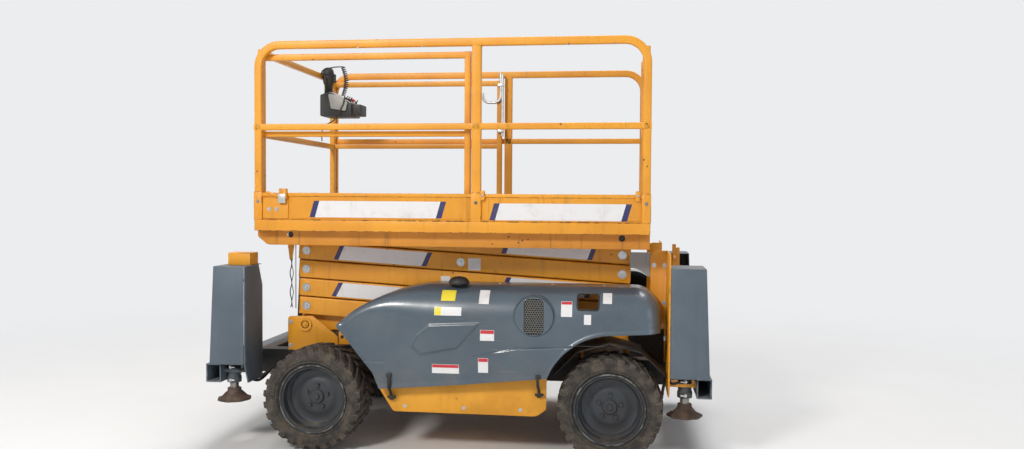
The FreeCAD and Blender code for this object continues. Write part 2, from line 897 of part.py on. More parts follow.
def cylinder_ends():
    low_arm = (stack_pin(0, 0), stack_pin(1, 1))
    high_arm = (stack_pin(0, 2), stack_pin(1, 3))
    low = along(*low_arm, 1 - stroke_pin_share)
    high = along(*high_arm, stroke_pin_share)
    return low, high


def along_cylinder(shape):
    """Turns a shape drawn along +X from the lower eye to where the cylinder lies."""
    low, high = cylinder_ends()
    angle = math.degrees(math.atan2(high[1] - low[1], high[0] - low[0]))
    shape.rotate(Vector(0, 0, 0), Vector(0, 1, 0), -angle)
    shape.translate(Vector(low[0], 0, low[1]))
    return shape


def cylinder_length():
    low, high = cylinder_ends()
    return math.hypot(high[0] - low[0], high[1] - low[1])


def lift_barrel():
    length = cylinder_length()
    half = cylinder_eye_width / 2
    barrel = bar_x(0, 0, cylinder_radius, cylinder_neck_length, length - 150)
    neck = bar_x(0, 0, cylinder_neck_radius, 30, cylinder_neck_length + 10)
    eye = bar_y(0, 0, cylinder_eye_radius, -half, half)
    shape = fuse([barrel, neck, eye])
    shape = shape.cut(bore_y(0, 0, cylinder_pin_radius + pin_clearance, -half - 5, half + 5))
    bored_from = cylinder_neck_length + 15
    shape = shape.cut(bore_x(0, 0, rod_radius + pin_clearance, bored_from, length))
    return along_cylinder(shape)


def lift_rod():
    length = cylinder_length()
    half = cylinder_eye_width / 2
    rod = bar_x(0, 0, rod_radius, cylinder_neck_length + 20, length - 30)
    eye = bar_y(length, 0, cylinder_eye_radius - 6, -half, half)
    pin = bar_y(length, 0, cylinder_pin_radius, -half - lug_gap / 2, half + lug_gap / 2)
    return along_cylinder(fuse([rod, eye, pin]))


# Platform

def platform_deck():
    """Floor sheet on a frame of edge beams and cross members."""
    sheet = box(platform_front_x, platform_rear_x, -platform_half_width, platform_half_width, deck_edge_top_z, floor_z)
    pieces = [sheet]
    for y0 in (-platform_half_width, skirt_y - 6):
        edge = box(
            platform_front_x,
            platform_rear_x,
            y0,
            y0 + platform_half_width - skirt_y + 6,
            deck_edge_bottom_z,
            deck_edge_top_z,
        )
        pieces.append(edge)
    under = top_of_platform_track()
    for x in cross_member_x:
        for y0, y1 in ((-skirt_y, -track_inner_y), (5 - inner_arm_y, inner_arm_y - 5), (track_inner_y, skirt_y)):
            pieces.append(box(x - 25, x + 25, y0, y1, under, deck_edge_top_z))
    # lengthwise members beside the arms, over the tracks: the arms' ends rise between them
    for y0, y1 in ((-track_outer_y, -track_inner_y), (track_inner_y, track_outer_y)):
        pieces.append(box(platform_front_x + 25, platform_rear_x - 25, y0, y1, under, deck_edge_top_z))
    return fuse(pieces)


cross_member_x = (platform_front_x + 50, -450, 350, platform_rear_x - 50)


def top_of_platform_track():
    return first_pin_z + levels * pin_rise + track_half_gap + track_plate


def platform_skirt():
    """Deep plate under the deck's edge, its front end chamfered, with two holes at the end pins."""
    corners = [
        (platform_front_x - 7, deck_edge_bottom_z, 0),
        (platform_front_x - 7, 1355, 20),
        (platform_front_x + 60, skirt_bottom_z, 30),
        (platform_rear_x, skirt_bottom_z, 0),
        (platform_rear_x, deck_edge_bottom_z, 0),
    ]
    plate = extrude_y(rounded_face(in_xz, corners), skirt_y - 6, skirt_y)
    holes = [bore_y(x, first_pin_z + levels * pin_rise - 6, 20, skirt_y - 20, skirt_y + 20) for x in (-1097, 1058)]
    return plate.cut(holes)


def platform_track():
    z = first_pin_z + levels * pin_rise
    track = c_track(z, track_front_x, track_rear_x)
    top = top_of_platform_track()
    corners = [
        (pin_left_x - 70, top, 0),
        (pin_left_x - 70, z - 10, 0),
        (pin_left_x - 35, z - 45, 20),
        (pin_left_x + 35, z - 45, 20),
        (pin_left_x + 70, z - 10, 0),
        (pin_left_x + 70, top, 0),
    ]
    ear = extrude_y(rounded_face(in_xz, corners), bracket_y, bracket_out_y)
    ear = ear.cut(bore_y(pin_left_x, z, pin_radius + pin_clearance, bracket_y - 5, bracket_out_y + 5))
    return Part.makeCompound([track, ear])


toe_y = platform_half_width - 12
post_inner_y = platform_half_width - rail_thick


def toe_boards():
    """Toe boards between the posts, each with a folded top lip."""
    boards = []
    bays = [
        (platform_front_x + rail_depth, middle_post_x - middle_post_width / 2),
        (middle_post_x + middle_post_width / 2, platform_rear_x - rail_depth),
    ]
    for x0, x1 in bays:
        panel = box(x0, x1, toe_y - 4, toe_y, floor_z, toe_board_top_z - 22)
        lip = box(x0, x1, toe_y - 10, toe_y + 8, toe_board_top_z - 22, toe_board_top_z)
        boards.append(panel.fuse(lip))
    return both_sides(Part.makeCompound(boards))


def rear_toe_boards():
    x = platform_rear_x - rail_depth
    return [
        box(x + 20, x + 24, y0, y1, floor_z, toe_board_top_z)
        for y0, y1 in (
            (-post_inner_y, -gate_half_width - rail_thick),
            (gate_half_width + rail_thick, post_inner_y),
        )
    ]


def side_frame():
    """One side's guard rail: a bent top rail with its end posts, a middle post and a mid rail."""
    y0 = post_inner_y
    y1 = platform_half_width
    x0 = platform_front_x
    x1 = platform_rear_x
    outer = rounded_face(
        in_xz,
        [(x0, floor_z, 0), (x0, top_rail_z, corner_radius), (x1, top_rail_z, corner_radius), (x1, floor_z, 0)],
    )
    inner_radius = corner_radius - rail_depth
    inner = rounded_face(
        in_xz,
        [
            (x0 + rail_depth, floor_z - 1, 0),
            (x0 + rail_depth, top_rail_z - rail_depth, inner_radius),
            (x1 - rail_depth, top_rail_z - rail_depth, inner_radius),
            (x1 - rail_depth, floor_z - 1, 0),
        ],
    )
    loop = extrude_y(outer, y0, y1).cut(extrude_y(inner, y0 - 1, y1 + 1))
    half_post = middle_post_width / 2
    post = box(middle_post_x - half_post, middle_post_x + half_post, y0, y1, floor_z, top_rail_z - rail_depth)
    mid = box(x0 + rail_depth, x1 - rail_depth, y0, y1, mid_rail_z - 40, mid_rail_z)
    return fuse([loop, post, mid])


def rear_frame(side):
    """Short end rails from a corner post to a gate post."""
    x0 = platform_rear_x - rail_depth
    x1 = platform_rear_x
    gate_post = box(x0, x1, gate_half_width, gate_half_width + rail_thick, floor_z, top_rail_z)
    rails = [
        box(x0 + 4, x1 - 4, gate_half_width + rail_thick, post_inner_y, z - 40, z)
        for z in (top_rail_z - corner_radius, mid_rail_z)
    ]
    frame = fuse([gate_post] + rails)
    return frame if side > 0 else mirrored(frame)


def platform_rails():
    near = fuse([mirrored(side_frame()), rear_frame(-1)])
    far = fuse([side_frame(), rear_frame(1)])
    return Part.makeCompound([near, far])


gate_pin_radius = 4.2
gate_hinge_y = gate_half_width - seat_gap - gate_pin_radius


def entry_gate():
    """Framed gate between the gate posts, hinged on the far one and swinging inwards."""
    x0 = platform_rear_x - rail_depth + 5
    x1 = x0 + 40
    edge = gate_half_width - 8
    z0 = floor_z + 12
    z1 = top_rail_z - 30
    frame = box(x0, x1, -edge, edge, z0, z1)
    windows = [
        box(x0 - 1, x1 + 1, -edge + 40, edge - 40, z0 + 180, mid_rail_z - 40),
        box(x0 - 1, x1 + 1, -edge + 40, edge - 40, mid_rail_z, z1 - 40),
    ]
    thin = [box(x0 - 1, x0 + 16, -edge + 40, edge - 40, z0 + 40, z0 + 181)]
    thin.append(box(x0 + 20, x1 + 1, -edge + 40, edge - 40, z0 + 40, z0 + 181))
    pins = [bar_z(x0, gate_hinge_y, gate_pin_radius, z, z + 60, 6) for z in (z0 + 60, z1 - 140)]
    return fuse([frame.cut(windows + thin)] + pins)


ext_outer_y = platform_half_width - rail_thick - extension_gap
ext_inner_y = ext_outer_y - rail_thick
ext_front_x = platform_front_x + 4
ext_floor_z = floor_z + 0.3
ext_floor_top_z = ext_floor_z + 12


def extension_deck():
    sheet = box(ext_front_x, extension_rear_x, -ext_outer_y, ext_outer_y, ext_floor_z, ext_floor_top_z)
    end_board = box(
        ext_front_x + 15,
        ext_front_x + 19,
        -ext_inner_y,
        ext_inner_y,
        ext_floor_top_z,
        toe_board_top_z,
    )
    return fuse([sheet, end_board])


def extension_rails():
    """Rails that nest inside the platform's, joined across the front end."""
    x0 = ext_front_x
    x1 = extension_rear_x
    sides = []
    for y0 in (-ext_outer_y, ext_inner_y):
        y1 = y0 + rail_thick
        top = box(x0, x1, y0, y1, extension_rail_z - 40, extension_rail_z)
        mid = box(x0, x1, y0, y1, mid_rail_z - 80, mid_rail_z - 45)
        front_post = box(x0, x0 + 40, y0, y1, ext_floor_top_z, top_rail_z - 45)
        rear_post = box(x1 - 40, x1, y0, y1, ext_floor_top_z, extension_rail_z)
        sides += [top, mid, front_post, rear_post]
    for z in (top_rail_z - 45, mid_rail_z - 45):
        sides.append(box(x0, x0 + 40, -ext_outer_y, ext_outer_y, z - 40, z))
    return fuse(sides)


def control_box():
    """Operator's box hung inside the front end rail on the far side."""
    x = ext_front_x + 44
    z = top_rail_z - 382
    corners = [(x, z, 0), (x, z + 165, 0), (x + 75, z + 190, 12), (x + 255, z + 95, 12), (x + 255, z, 0)]
    y1 = platform_half_width - 212
    y0 = y1 - 230
    body = extrude_y(rounded_face(in_xz, corners), y0, y1)
    stick = bar_z(x + 115, y0 + 115, 34, z + 160, z + 285)
    hooks = [box(x - 4, x + 65, y, y + 12, z + 155, top_rail_z - 50) for y in (y0 + 30, y1 - 42)]
    return fuse([body, stick] + hooks)


# Hoods

def round_wheel(hub_x, angle, clearance, drop):
    """A point beyond a tyre's tread, seen from the side."""
    turn = math.radians(angle)
    reach = tyre_radius + clearance
    return hub_x + reach * math.cos(turn), hub_z + reach * math.sin(turn) - drop


def hood_outline(drop):
    """Side view of a hood; drop lowers its lower edge, for the hollow."""
    top = hood_top_z
    # points round the wheels: (angle at the hub, distance from the tread)
    front_edge = ((10.5, 110.3), (25.0, 105.8), (62.7, 131.6))
    rear_arch = ((94.29, 124.3), (123.8, 111.8), (147.6, 98.9), (154.2, 94.4))
    front = [round_wheel(front_axle_x, *point, drop) for point in front_edge]
    arch = [round_wheel(rear_axle_x, *point, drop) for point in rear_arch]
    nose = round_wheel(front_axle_x, 72.25, 168.7, 0)
    return outline_face(
        in_xz,
        nose,
        [
            (-640, top - 177, -533, top - 113),
            (-345, top - 37, -130, top),
            (1140, top),
            (1253, top - 47, 1299, top - 160),
            (1299, arch[0][1] + 19),
            arch[0],
            arch[1] + arch[2],
            arch[3],
            (71, 454 - drop),
            front[0],
            front[1],
            front[2],
        ],
    )


def hood_section(inset, drop):
    """End view of a hood, as y and z: a slightly bulged side that rolls over to a flat top."""
    side = tyre_outer_y - inset
    return outline_face(
        in_yz,
        (hood_inner_y - (40 if inset else 0), 380 - drop),
        [
            (side - 38, 380 - drop),
            (side - 15, 560),
            (side - 14, 720),
            (side - 22, hood_top_z - 215),
            (side - 72, hood_top_z - 62 - inset, side - 210 + inset, hood_top_z - inset),
            (hood_inner_y - (40 if inset else 0), hood_top_z - inset),
        ],
    )


def hood(with_intake):
    outer = extrude_y(hood_outline(0), hood_inner_y, tyre_outer_y)
    outer = outer.common(extrude_x(hood_section(0, 0), -900, 1500))
    hollow = extrude_y(hood_outline(90), hood_inner_y - 30, tyre_outer_y)
    inner = extrude_x(hood_section(hood_wall, 150), -900, 1500)
    for dx, dz in ((0, -hood_wall), (-hood_wall, 0), (hood_wall, -hood_wall / 2)):
        copy = hollow.copy()
        copy.translate(Vector(dx, 0, dz))
        inner = inner.common(copy)
    flange = box(-70, 1120, hood_inner_y, hood_inner_y + hood_wall, hood_hinge_z - 60, hood_top_z - 1)
    shell = outer.cut(inner).fuse(flange)
    boss = bar_y(vent_x, vent_z, vent_radius, vent_face_y - 250, vent_face_y, 12)
    shell = shell.fuse(boss.cut(inner))
    if with_intake:
        seat = bar_z(intake_x, intake_y, intake_stub_radius + 8, intake_seat_z - 42, intake_seat_z)
        shell = shell.fuse(seat.cut(inner))
    grille_hole = rounded_face(in_xz, vent_corners(0))
    shell = shell.cut(extrude_y(grille_hole, vent_face_y - 190, vent_face_y + 60))
    window = rounded_face(in_xz, [(791, 934, 16), (791, 1028, 16), (923, 1028, 16), (923, 934, 16)])
    shell = shell.cut(extrude_y(window, vent_face_y - 190, vent_face_y + 60))
    return shell.removeSplitter()


def vent_corners(inset):
    w = vent_half_width - inset
    h = vent_half_height - inset
    cut = 22
    return [
        (vent_x - w + cut, vent_z - h, 0),
        (vent_x + w - cut, vent_z - h, 0),
        (vent_x + w, vent_z - h + cut, 0),
        (vent_x + w, vent_z + h - cut, 0),
        (vent_x + w - cut, vent_z + h, 0),
        (vent_x - w + cut, vent_z + h, 0),
        (vent_x - w, vent_z + h - cut, 0),
        (vent_x - w, vent_z - h + cut, 0),
    ]


def vent_grille():
    """Slotted plate that fills the vent."""
    plate = extrude_y(rounded_face(in_xz, vent_corners(0.3)), vent_face_y - 10, vent_face_y - 4)
    slots = []
    for z in (vent_z - 58, vent_z, vent_z + 58):
        slots.append(box(vent_x - 45, vent_x + 45, vent_face_y - 20, vent_face_y, z - 20, z + 20))
    return plate.cut(slots)


def intake_cap():
    """Rain cap of the air intake, on a stub through the hood's shoulder."""
    z = intake_seat_z + seat_gap
    stub = intake_stub_radius
    brim_z = intake_seat_z + 12
    top_z = brim_z + 47
    profile = [(0, z), (stub, z), (stub, brim_z), (69, brim_z), (69, brim_z + 16)]
    profile += [(52, top_z - 9), (26, top_z), (0, top_z)]
    return turned_z(profile, intake_x, intake_y, 12)


def main():
    os.makedirs("parts", exist_ok=True)
    export("chassis_frame", chassis_frame())
    export("scissor_brackets", both_sides(scissor_bracket()))
    export("chassis_tracks", both_sides(chassis_track()))
    export("front_axle", front_axle())
    export("rear_axle", rear_axle())
    export("front_end_beam", end_beam(front_beam_face_x, front_beam_face_x + end_beam_depth))
    export("rear_end_beam", end_beam(rear_beam_face_x - end_beam_depth + 10, rear_beam_face_x))
    export("side_trays", both_sides(side_tray()))
    export("rear_mudguards", both_sides(mudguard()))
    export("rear_ladder", rear_ladder())
    export("engine_block", mirrored(tray_block(engine_block)))
    export("tank_block", tray_block(tank_block))

    front_plate = jack_mount(front_mount, front_beam_face_x + end_beam_depth, front_jack_x)
    export("front_jack_mounts", both_sides(front_plate))
    export("rear_jack_mounts", both_sides(rear_jack_mount()))
    export("front_jack_caps", both_sides(front_jack_cap()))
    export("front_jack_covers", both_sides(jack_cover(front_cover)))
    export("rear_jack_covers", both_sides(jack_cover(rear_cover)))
    export("front_jack_barrels", both_sides(jack_barrel(front_jack_x)))
    export("rear_jack_barrels", both_sides(jack_barrel(rear_jack_x)))

    for side, y_sign in (("near", -1), ("far", 1)):
        for end, x in (("front", front_jack_x), ("rear", rear_jack_x)):
            export("jack_leg_" + end + "_" + side, jack_leg(x, y_sign))

    for end, x in (("front", front_axle_x), ("rear", rear_axle_x)):
        far_rim = rim(x)
        far_tyre = tyre(x)
        export("rim_" + end + "_far", far_rim)
        export("tyre_" + end + "_far", far_tyre)
        export("rim_" + end + "_near", mirrored(far_rim))
        export("tyre_" + end + "_near", mirrored(far_tyre))

    far_knuckle = knuckle()
    export("knuckle_far", far_knuckle)
    export("knuckle_near", mirrored(far_knuckle))
    export("tie_rod", tie_rod())

    for level in range(levels):
        export("inner_arms_" + str(level + 1), inner_arms(level))
        export("outer_arms_" + str(level + 1), outer_arms(level))
    export("lift_barrel", lift_barrel())
    export("lift_rod", lift_rod())

    export("platform_deck", platform_deck())
    export("platform_skirts", both_sides(platform_skirt()))
    export("platform_tracks", both_sides(platform_track()))
    export("toe_boards", Part.makeCompound(toe_boards().Solids + rear_toe_boards()))
    export("platform_rails", platform_rails())
    export("entry_gate", entry_gate())
    export("extension_deck", extension_deck())
    export("extension_rails", extension_rails())
    export("control_box", control_box())

    export("hood_far", hood(False))
    export("hood_near", mirrored(hood(True)))
    far_grille = vent_grille()
    export("vent_grille_far", far_grille)
    export("vent_grille_near", mirrored(far_grille))
    export("intake_cap", mirrored(intake_cap()))


main()
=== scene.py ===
import json
import math

import bmesh
import bpy
from mathutils import Matrix, Vector


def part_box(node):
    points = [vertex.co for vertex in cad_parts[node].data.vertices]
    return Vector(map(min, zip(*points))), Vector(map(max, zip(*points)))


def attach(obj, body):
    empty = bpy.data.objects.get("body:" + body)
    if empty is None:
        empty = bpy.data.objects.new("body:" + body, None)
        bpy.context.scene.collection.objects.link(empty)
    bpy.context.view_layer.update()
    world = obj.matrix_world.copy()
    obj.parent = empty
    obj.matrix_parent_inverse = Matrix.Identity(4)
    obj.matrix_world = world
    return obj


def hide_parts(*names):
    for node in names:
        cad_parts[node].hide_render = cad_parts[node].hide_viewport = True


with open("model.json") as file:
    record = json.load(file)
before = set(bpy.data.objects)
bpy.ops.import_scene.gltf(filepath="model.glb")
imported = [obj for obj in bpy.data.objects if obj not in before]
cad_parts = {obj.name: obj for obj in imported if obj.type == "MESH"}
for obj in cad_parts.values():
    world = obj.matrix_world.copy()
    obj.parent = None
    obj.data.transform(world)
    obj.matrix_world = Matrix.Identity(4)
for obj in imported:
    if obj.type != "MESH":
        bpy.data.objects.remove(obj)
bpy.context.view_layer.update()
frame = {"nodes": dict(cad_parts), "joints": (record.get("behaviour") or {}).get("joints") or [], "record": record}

NODES = frame["nodes"]
BODY_OF = {
    node: body
    for body, members in frame["record"]["behaviour"]["bodies"].items()
    for node in members
}
PIVOT = {joint["name"]: Vector(joint["pos_m"]) for joint in frame["joints"] if "pos_m" in joint}
NEAR, FAR = -1, 1
SIDES = (("near", NEAR), ("far", FAR))
ENDS = ("front", "rear")


# Shader sums

class Signal:
    """What comes out of a node, so that sums on it are written as Python."""

    def __init__(self, graph, socket):
        self.graph = graph
        self.socket = socket

    def maths(self, operation, *values, clamp=False):
        settings = {"operation": operation, "use_clamp": clamp}
        return self.graph.node("Math", settings, dict(enumerate(values)))

    def __add__(self, other):
        return self.maths("ADD", self, other)

    def __radd__(self, other):
        return self.maths("ADD", other, self)

    def __sub__(self, other):
        return self.maths("SUBTRACT", self, other)

    def __rsub__(self, other):
        return self.maths("SUBTRACT", other, self)

    def __mul__(self, other):
        return self.maths("MULTIPLY", self, other)

    def __pow__(self, other):
        return self.maths("POWER", self, other)

    def clipped(self):
        return self.maths("ADD", self, 0, clamp=True)

    def rising(self, low, high):
        """Turns from 0 below low to 1 above high; high below low turns the other way."""
        limits = {"Value": self, "From Min": low, "From Max": high}
        return self.graph.node("MapRange", {"interpolation_type": "SMOOTHSTEP"}, limits)

    def wave(self, per_metre):
        return self.maths("SINE", self * (2 * math.pi * per_metre))


class Graph:
    """The nodes of a material or of the world, all made by one method."""

    def __init__(self, owner):
        owner.use_nodes = True
        self.tree = owner.node_tree
        self.tree.nodes.clear()

    def node(self, kind, settings=None, inputs=None, output=0):
        node = self.tree.nodes.new("ShaderNode" + kind)
        for key, value in (settings or {}).items():
            setattr(node, key, value)
        for key, value in (inputs or {}).items():
            self.join(node.inputs[key], value)
        return Signal(self, node.outputs[output]) if node.outputs else node

    def join(self, socket, value):
        if isinstance(value, Signal):
            self.tree.links.new(value.socket, socket)
        else:
            socket.default_value = value

    def background_seen(self):
        """1 for the rays that show the background: the camera's, and those off metal or through glass."""
        kinds = ("Is Camera Ray", "Is Glossy Ray", "Is Transmission Ray")
        camera, glossy, through = (self.node("LightPath", output=kind) for kind in kinds)
        return (camera + glossy + through).clipped()


class Finish(Graph):
    """A material, built around one glossy shader."""

    def __init__(self, name, **sockets):
        self.material = bpy.data.materials.new(name)
        super().__init__(self.material)
        self.shader = self.tree.nodes.new("ShaderNodeBsdfPrincipled")
        self.surface = self.node("OutputMaterial").inputs["Surface"]
        self.tree.links.new(self.shader.outputs[0], self.surface)
        self.paint(**sockets)

    def paint(self, **sockets):
        for name, value in sockets.items():
            self.join(self.shader.inputs[name.replace("_", " ")], value)

    def place(self, stretch=(1, 1, 1)):
        """The point on the piece in metres, stretched along each axis."""
        spot = self.node("TexCoord", output="Object")
        return self.node("Mapping", {}, {"Vector": spot, "Scale": stretch})

    def across(self, axis):
        return self.node("SeparateXYZ", {}, {0: self.node("TexCoord", output="Object")}, axis)

    def facing(self, axis):
        """How far the surface faces along an axis, from -1 to 1."""
        return self.node("SeparateXYZ", {}, {0: self.node("TexCoord", output="Normal")}, axis)

    def grain(self, scale, detail=3.0, roughness=0.55, stretch=(1, 1, 1)):
        values = {"Vector": self.place(stretch), "Scale": scale}
        return self.node("TexNoise", {}, {**values, "Detail": detail, "Roughness": roughness})

    def cells(self, scale):
        return self.node("TexVoronoi", {}, {"Vector": self.place(), "Scale": scale})

    def edge(self):
        """1 on the rounded edges of a piece, and 0 elsewhere."""
        return self.node("Attribute", {"attribute_name": "edge"}, output="Fac")

    def mix(self, factor, low, high):
        return self.node("Mix", {"data_type": "RGBA"}, {0: factor, 6: low, 7: high}, 2)

    def bump(self, height, strength, distance):
        return self.node("Bump", {}, {"Strength": strength, "Distance": distance, "Height": height})


def srgb(red, green, blue):
    """A colour given as it shows on a screen, from 0 to 255."""
    def linear(value):
        value = value / 255
        return value / 12.92 if value <= 0.04045 else ((value + 0.055) / 1.055) ** 2.4

    return (linear(red), linear(green), linear(blue), 1)


DUST = srgb(150, 132, 108)
RUST = srgb(82, 52, 36)
GRIME = srgb(58, 44, 32)
BACKGROUND = srgb(236, 237, 239)

# metres from the machine at which the floor begins and ends to turn into the background
FADE_FROM, FADE_TO = 2.6, 9.0


def enamel(name, colour, deep, chip, gloss=0.42, grime=0.5, chips=1.0):
    """Sprayed paint on steel, with worn edges, drips, dust on ledges and dirt near the ground."""
    f = Finish(name)
    patches = f.grain(2.3, 4)
    fine = f.grain(38, 3)
    colour = f.mix(patches.rising(0.38, 0.68) * 0.55, colour, deep)
    runs = f.grain(1.0, 5, 0.6, stretch=(26, 26, 1.6)).rising(0.56, 0.74)
    upright = 1 - f.facing(2).maths("ABSOLUTE", f.facing(2)).rising(0.3, 0.8)
    colour = f.mix(runs * upright * (0.5 * grime), colour, GRIME)
    ledge = f.facing(2).rising(0.6, 0.95) * f.grain(9, 4).rising(0.4, 0.7)
    colour = f.mix(ledge * 0.5, colour, DUST)
    low = f.across(2).rising(0.62, 0.2) * f.grain(7, 5, 0.65).rising(0.38, 0.62)
    colour = f.mix(low * grime, colour, GRIME)
    worn = f.edge() * f.grain(20, 4, 0.6).rising(0.5, 0.58)
    specks = f.cells(15).rising(0.13, 0.08) * f.grain(3.1, 2).rising(0.5, 0.6)
    bare = (worn + specks * chips).clipped() * chips
    colour = f.mix(bare * 0.85, colour, chip)
    rough = gloss + (fine - 0.5) * 0.16 + ledge * 0.3 + low * 0.25 + bare * 0.2
    height = fine * 0.35 - bare
    f.paint(Base_Color=colour, Roughness=rough, Normal=f.bump(height, 0.25, 0.0012))
    return f.material


def moulded_cover():
    """Blue-grey moulded cover: semi-gloss, with fine upright scratches and pale scuffs."""
    f = Finish("hood_cover", Coat_Weight=0.45, Coat_Roughness=0.16)
    base, pale, deep = srgb(74, 89, 101), srgb(150, 159, 164), srgb(58, 71, 82)
    colour = f.mix(f.grain(1.8, 4).rising(0.35, 0.7) * 0.6, base, deep)
    hair = f.grain(1.0, 4, 0.7, stretch=(150, 150, 9)).rising(0.58, 0.72)
    zone = f.across(2).rising(0.78, 1.0) * f.grain(2.2, 3).rising(0.4, 0.62)
    scuffs = (hair * zone).clipped()
    colour = f.mix(scuffs * 0.5, colour, pale)
    scrape = f.grain(1.0, 3, 0.5,
                     stretch=(3.5, 3.5, 70)).rising(0.665, 0.7) * f.grain(1.7, 1).rising(0.5, 0.6)
    colour = f.mix(scrape * 0.2, colour, pale)
    dusty = f.grain(5.0, 5, 0.6).rising(0.45, 0.75)
    colour = f.mix(dusty * 0.06, colour, DUST)
    low = f.across(2).rising(0.7, 0.4) * f.grain(6, 4).rising(0.4, 0.7)
    colour = f.mix(low * 0.16, colour, DUST)
    rim = f.edge() * f.grain(30, 4).rising(0.5, 0.62)
    colour = f.mix(rim * 0.15, colour, pale)
    rough = 0.33 + scuffs * 0.22 + dusty * 0.14 + low * 0.2 + (f.grain(60, 2) - 0.5) * 0.1
    f.paint(Base_Color=colour, Roughness=rough,
            Normal=f.bump(f.grain(3.2, 3) + hair * 0.02, 0.2, 0.006))
    return f.material


def tyre_rubber():
    """Worn black rubber: browned and dusty, paler on the tops of its lugs."""
    f = Finish("tyre_rubber")
    rubber, dusty = srgb(44, 41, 39), srgb(112, 101, 88)
    mottle = f.grain(14, 5, 0.65)
    colour = f.mix(mottle.rising(0.35, 0.75) * 0.6, rubber, dusty)
    colour = f.mix(f.edge() * 0.35, colour, dusty)
    specks = f.cells(70).rising(0.22, 0.1) * f.grain(6, 2).rising(0.5, 0.62)
    colour = f.mix(specks * 0.5, colour, srgb(150, 142, 130))
    height = mottle + f.grain(160, 2) * 0.3
    f.paint(Base_Color=colour, Roughness=0.78 + mottle * 0.16, Normal=f.bump(height, 0.35, 0.003))
    return f.material


def bare_steel(name, colour, rough, tarnish):
    """Metal left bare: zinc, chrome or worn steel, with a stain that grows in patches."""
    f = Finish(name)
    stain = f.grain(24, 5, 0.6).rising(0.45, 0.72)
    tone = f.mix(stain * tarnish, colour, RUST)
    f.paint(
        Base_Color=tone,
        Metallic=1 - stain * tarnish * 0.8,
        Roughness=rough + stain * (0.45 * tarnish) + (f.grain(90, 2) - 0.5) * 0.12,
        Normal=f.bump(f.grain(70, 3), 0.12, 0.001),
    )
    return f.material


def moulded_black(name="black_plastic", colour=srgb(30, 31, 33)):
    f = Finish(name)
    dusty = f.grain(11, 5, 0.6).rising(0.42, 0.72)
    tone = f.mix(dusty * 0.12, colour, DUST)
    tone = f.mix(f.edge() * 0.15, tone, srgb(96, 96, 96))
    f.paint(Base_Color=tone, Roughness=0.5 + dusty * 0.25,
            Normal=f.bump(f.grain(240, 2), 0.2, 0.0008))
    return f.material


def hose_rubber():
    f = Finish("hose_rubber")
    dusty = f.grain(17, 4).rising(0.4, 0.7)
    braid = (f.across(0) + f.across(2)).wave(110) * (f.across(0) - f.across(2)).wave(110)
    tone = f.mix(dusty * 0.35, srgb(26, 26, 27), DUST)
    f.paint(Base_Color=tone, Roughness=0.58 + dusty * 0.2, Normal=f.bump(braid, 0.15, 0.0006))
    return f.material


def tread_plate():
    """Rolled floor plate with raised bars that alternate, dulled by boots."""
    f = Finish("tread_plate")
    pitch = 17
    x, y = f.across(0), f.across(1)
    one = ((x + y).wave(pitch) * (x - y).wave(pitch * 0.5)).rising(0.45, 0.7)
    other = ((x - y).wave(pitch) * (x + y).wave(pitch * 0.5)).rising(0.45, 0.7)
    raised = (one + other).clipped()
    mud = f.grain(3.5, 5, 0.65).rising(0.42, 0.7)
    tone = f.mix(raised * 0.5, srgb(104, 104, 102), srgb(160, 160, 158))
    tone = f.mix(mud * (1 - raised * 0.6), tone, srgb(88, 76, 62))
    f.paint(
        Base_Color=tone,
        Metallic=0.75 - mud * 0.6,
        Roughness=0.42 + mud * 0.35 - raised * 0.08,
        Normal=f.bump(raised, 0.5, 0.003),
    )
    return f.material


def vinyl(name, colour):
    """A stuck-on film: satin and a little dirty."""
    f = Finish(name)
    dirt = f.grain(9, 5, 0.65).rising(0.5, 0.78)
    runs = f.grain(1.0, 4, 0.6, stretch=(40, 40, 3)).rising(0.58, 0.75)
    tone = f.mix((dirt + runs * 0.6).clipped() * 0.275, colour, DUST)
    f.paint(Base_Color=tone, Roughness=0.38 + dirt * 0.3,
            Normal=f.bump(f.grain(30, 2), 0.08, 0.001))
    return f.material


def concrete():
    """Pale floor that keeps the shadow and turns into the plain background far out."""
    f = Finish("pale_floor", Roughness=0.9, Specular_IOR_Level=0.2)
    mottle = f.grain(1.3, 5, 0.6)
    f.paint(Base_Color=f.mix(mottle, srgb(216, 215, 213), srgb(224, 223, 222)))
    glow = f.node("Emission", {}, {"Color": BACKGROUND, "Strength": 1.0})
    x, y = f.across(0), f.across(1)
    away = (x * x + y * y) ** 0.5
    share = away.rising(FADE_FROM, FADE_TO) * f.background_seen()
    floor = Signal(f, f.shader.outputs[0])
    f.join(f.surface, f.node("MixShader", {}, {0: share, 1: floor, 2: glow}))
    return f.material


ORANGE = enamel("orange_paint", srgb(230, 158, 42), srgb(206, 132, 30), srgb(92, 60, 36))
# Painted shade: a darker orange with extra grime on the platform's skirts, for the shade under the platform's edge
SHADED_SKIRT_ORANGE = enamel("shaded_skirt_orange", srgb(206, 136, 36), srgb(168, 104, 26), srgb(84, 54, 34), 0.5,
                      1.2)
TRAY_ORANGE = enamel("tray_orange", srgb(234, 164, 44), srgb(218, 146, 36), srgb(104, 70, 42), 0.42,
                     0.18, 0.7)
COVER_GREY = enamel("cover_grey", srgb(86, 98, 109), srgb(70, 82, 92), srgb(150, 152, 150), 0.46,
                    0.35, 0.7)
RIM_GREY = enamel("rim_grey", srgb(50, 56, 62), srgb(40, 45, 50), srgb(150, 148, 140), 0.42, 0.3,
                  0.6)
# Black paint of the axles, knuckles and tie rod; on the chassis frame it is painted shade
AXLE_BLACK_AND_FRAME_SHADE = enamel("axle_black", srgb(36, 36, 38), srgb(28, 28, 30), srgb(88, 70, 54), 0.55, 0.9)
# Black mudguard paint, darkened further as painted shade under the rear arch
MUDGUARD_BLACK_AND_SHADE = enamel("mudguard_black_and_shade", srgb(27, 25, 24), srgb(22, 20, 19), srgb(52, 42, 34), 0.7,
                        0.5, 0.4)
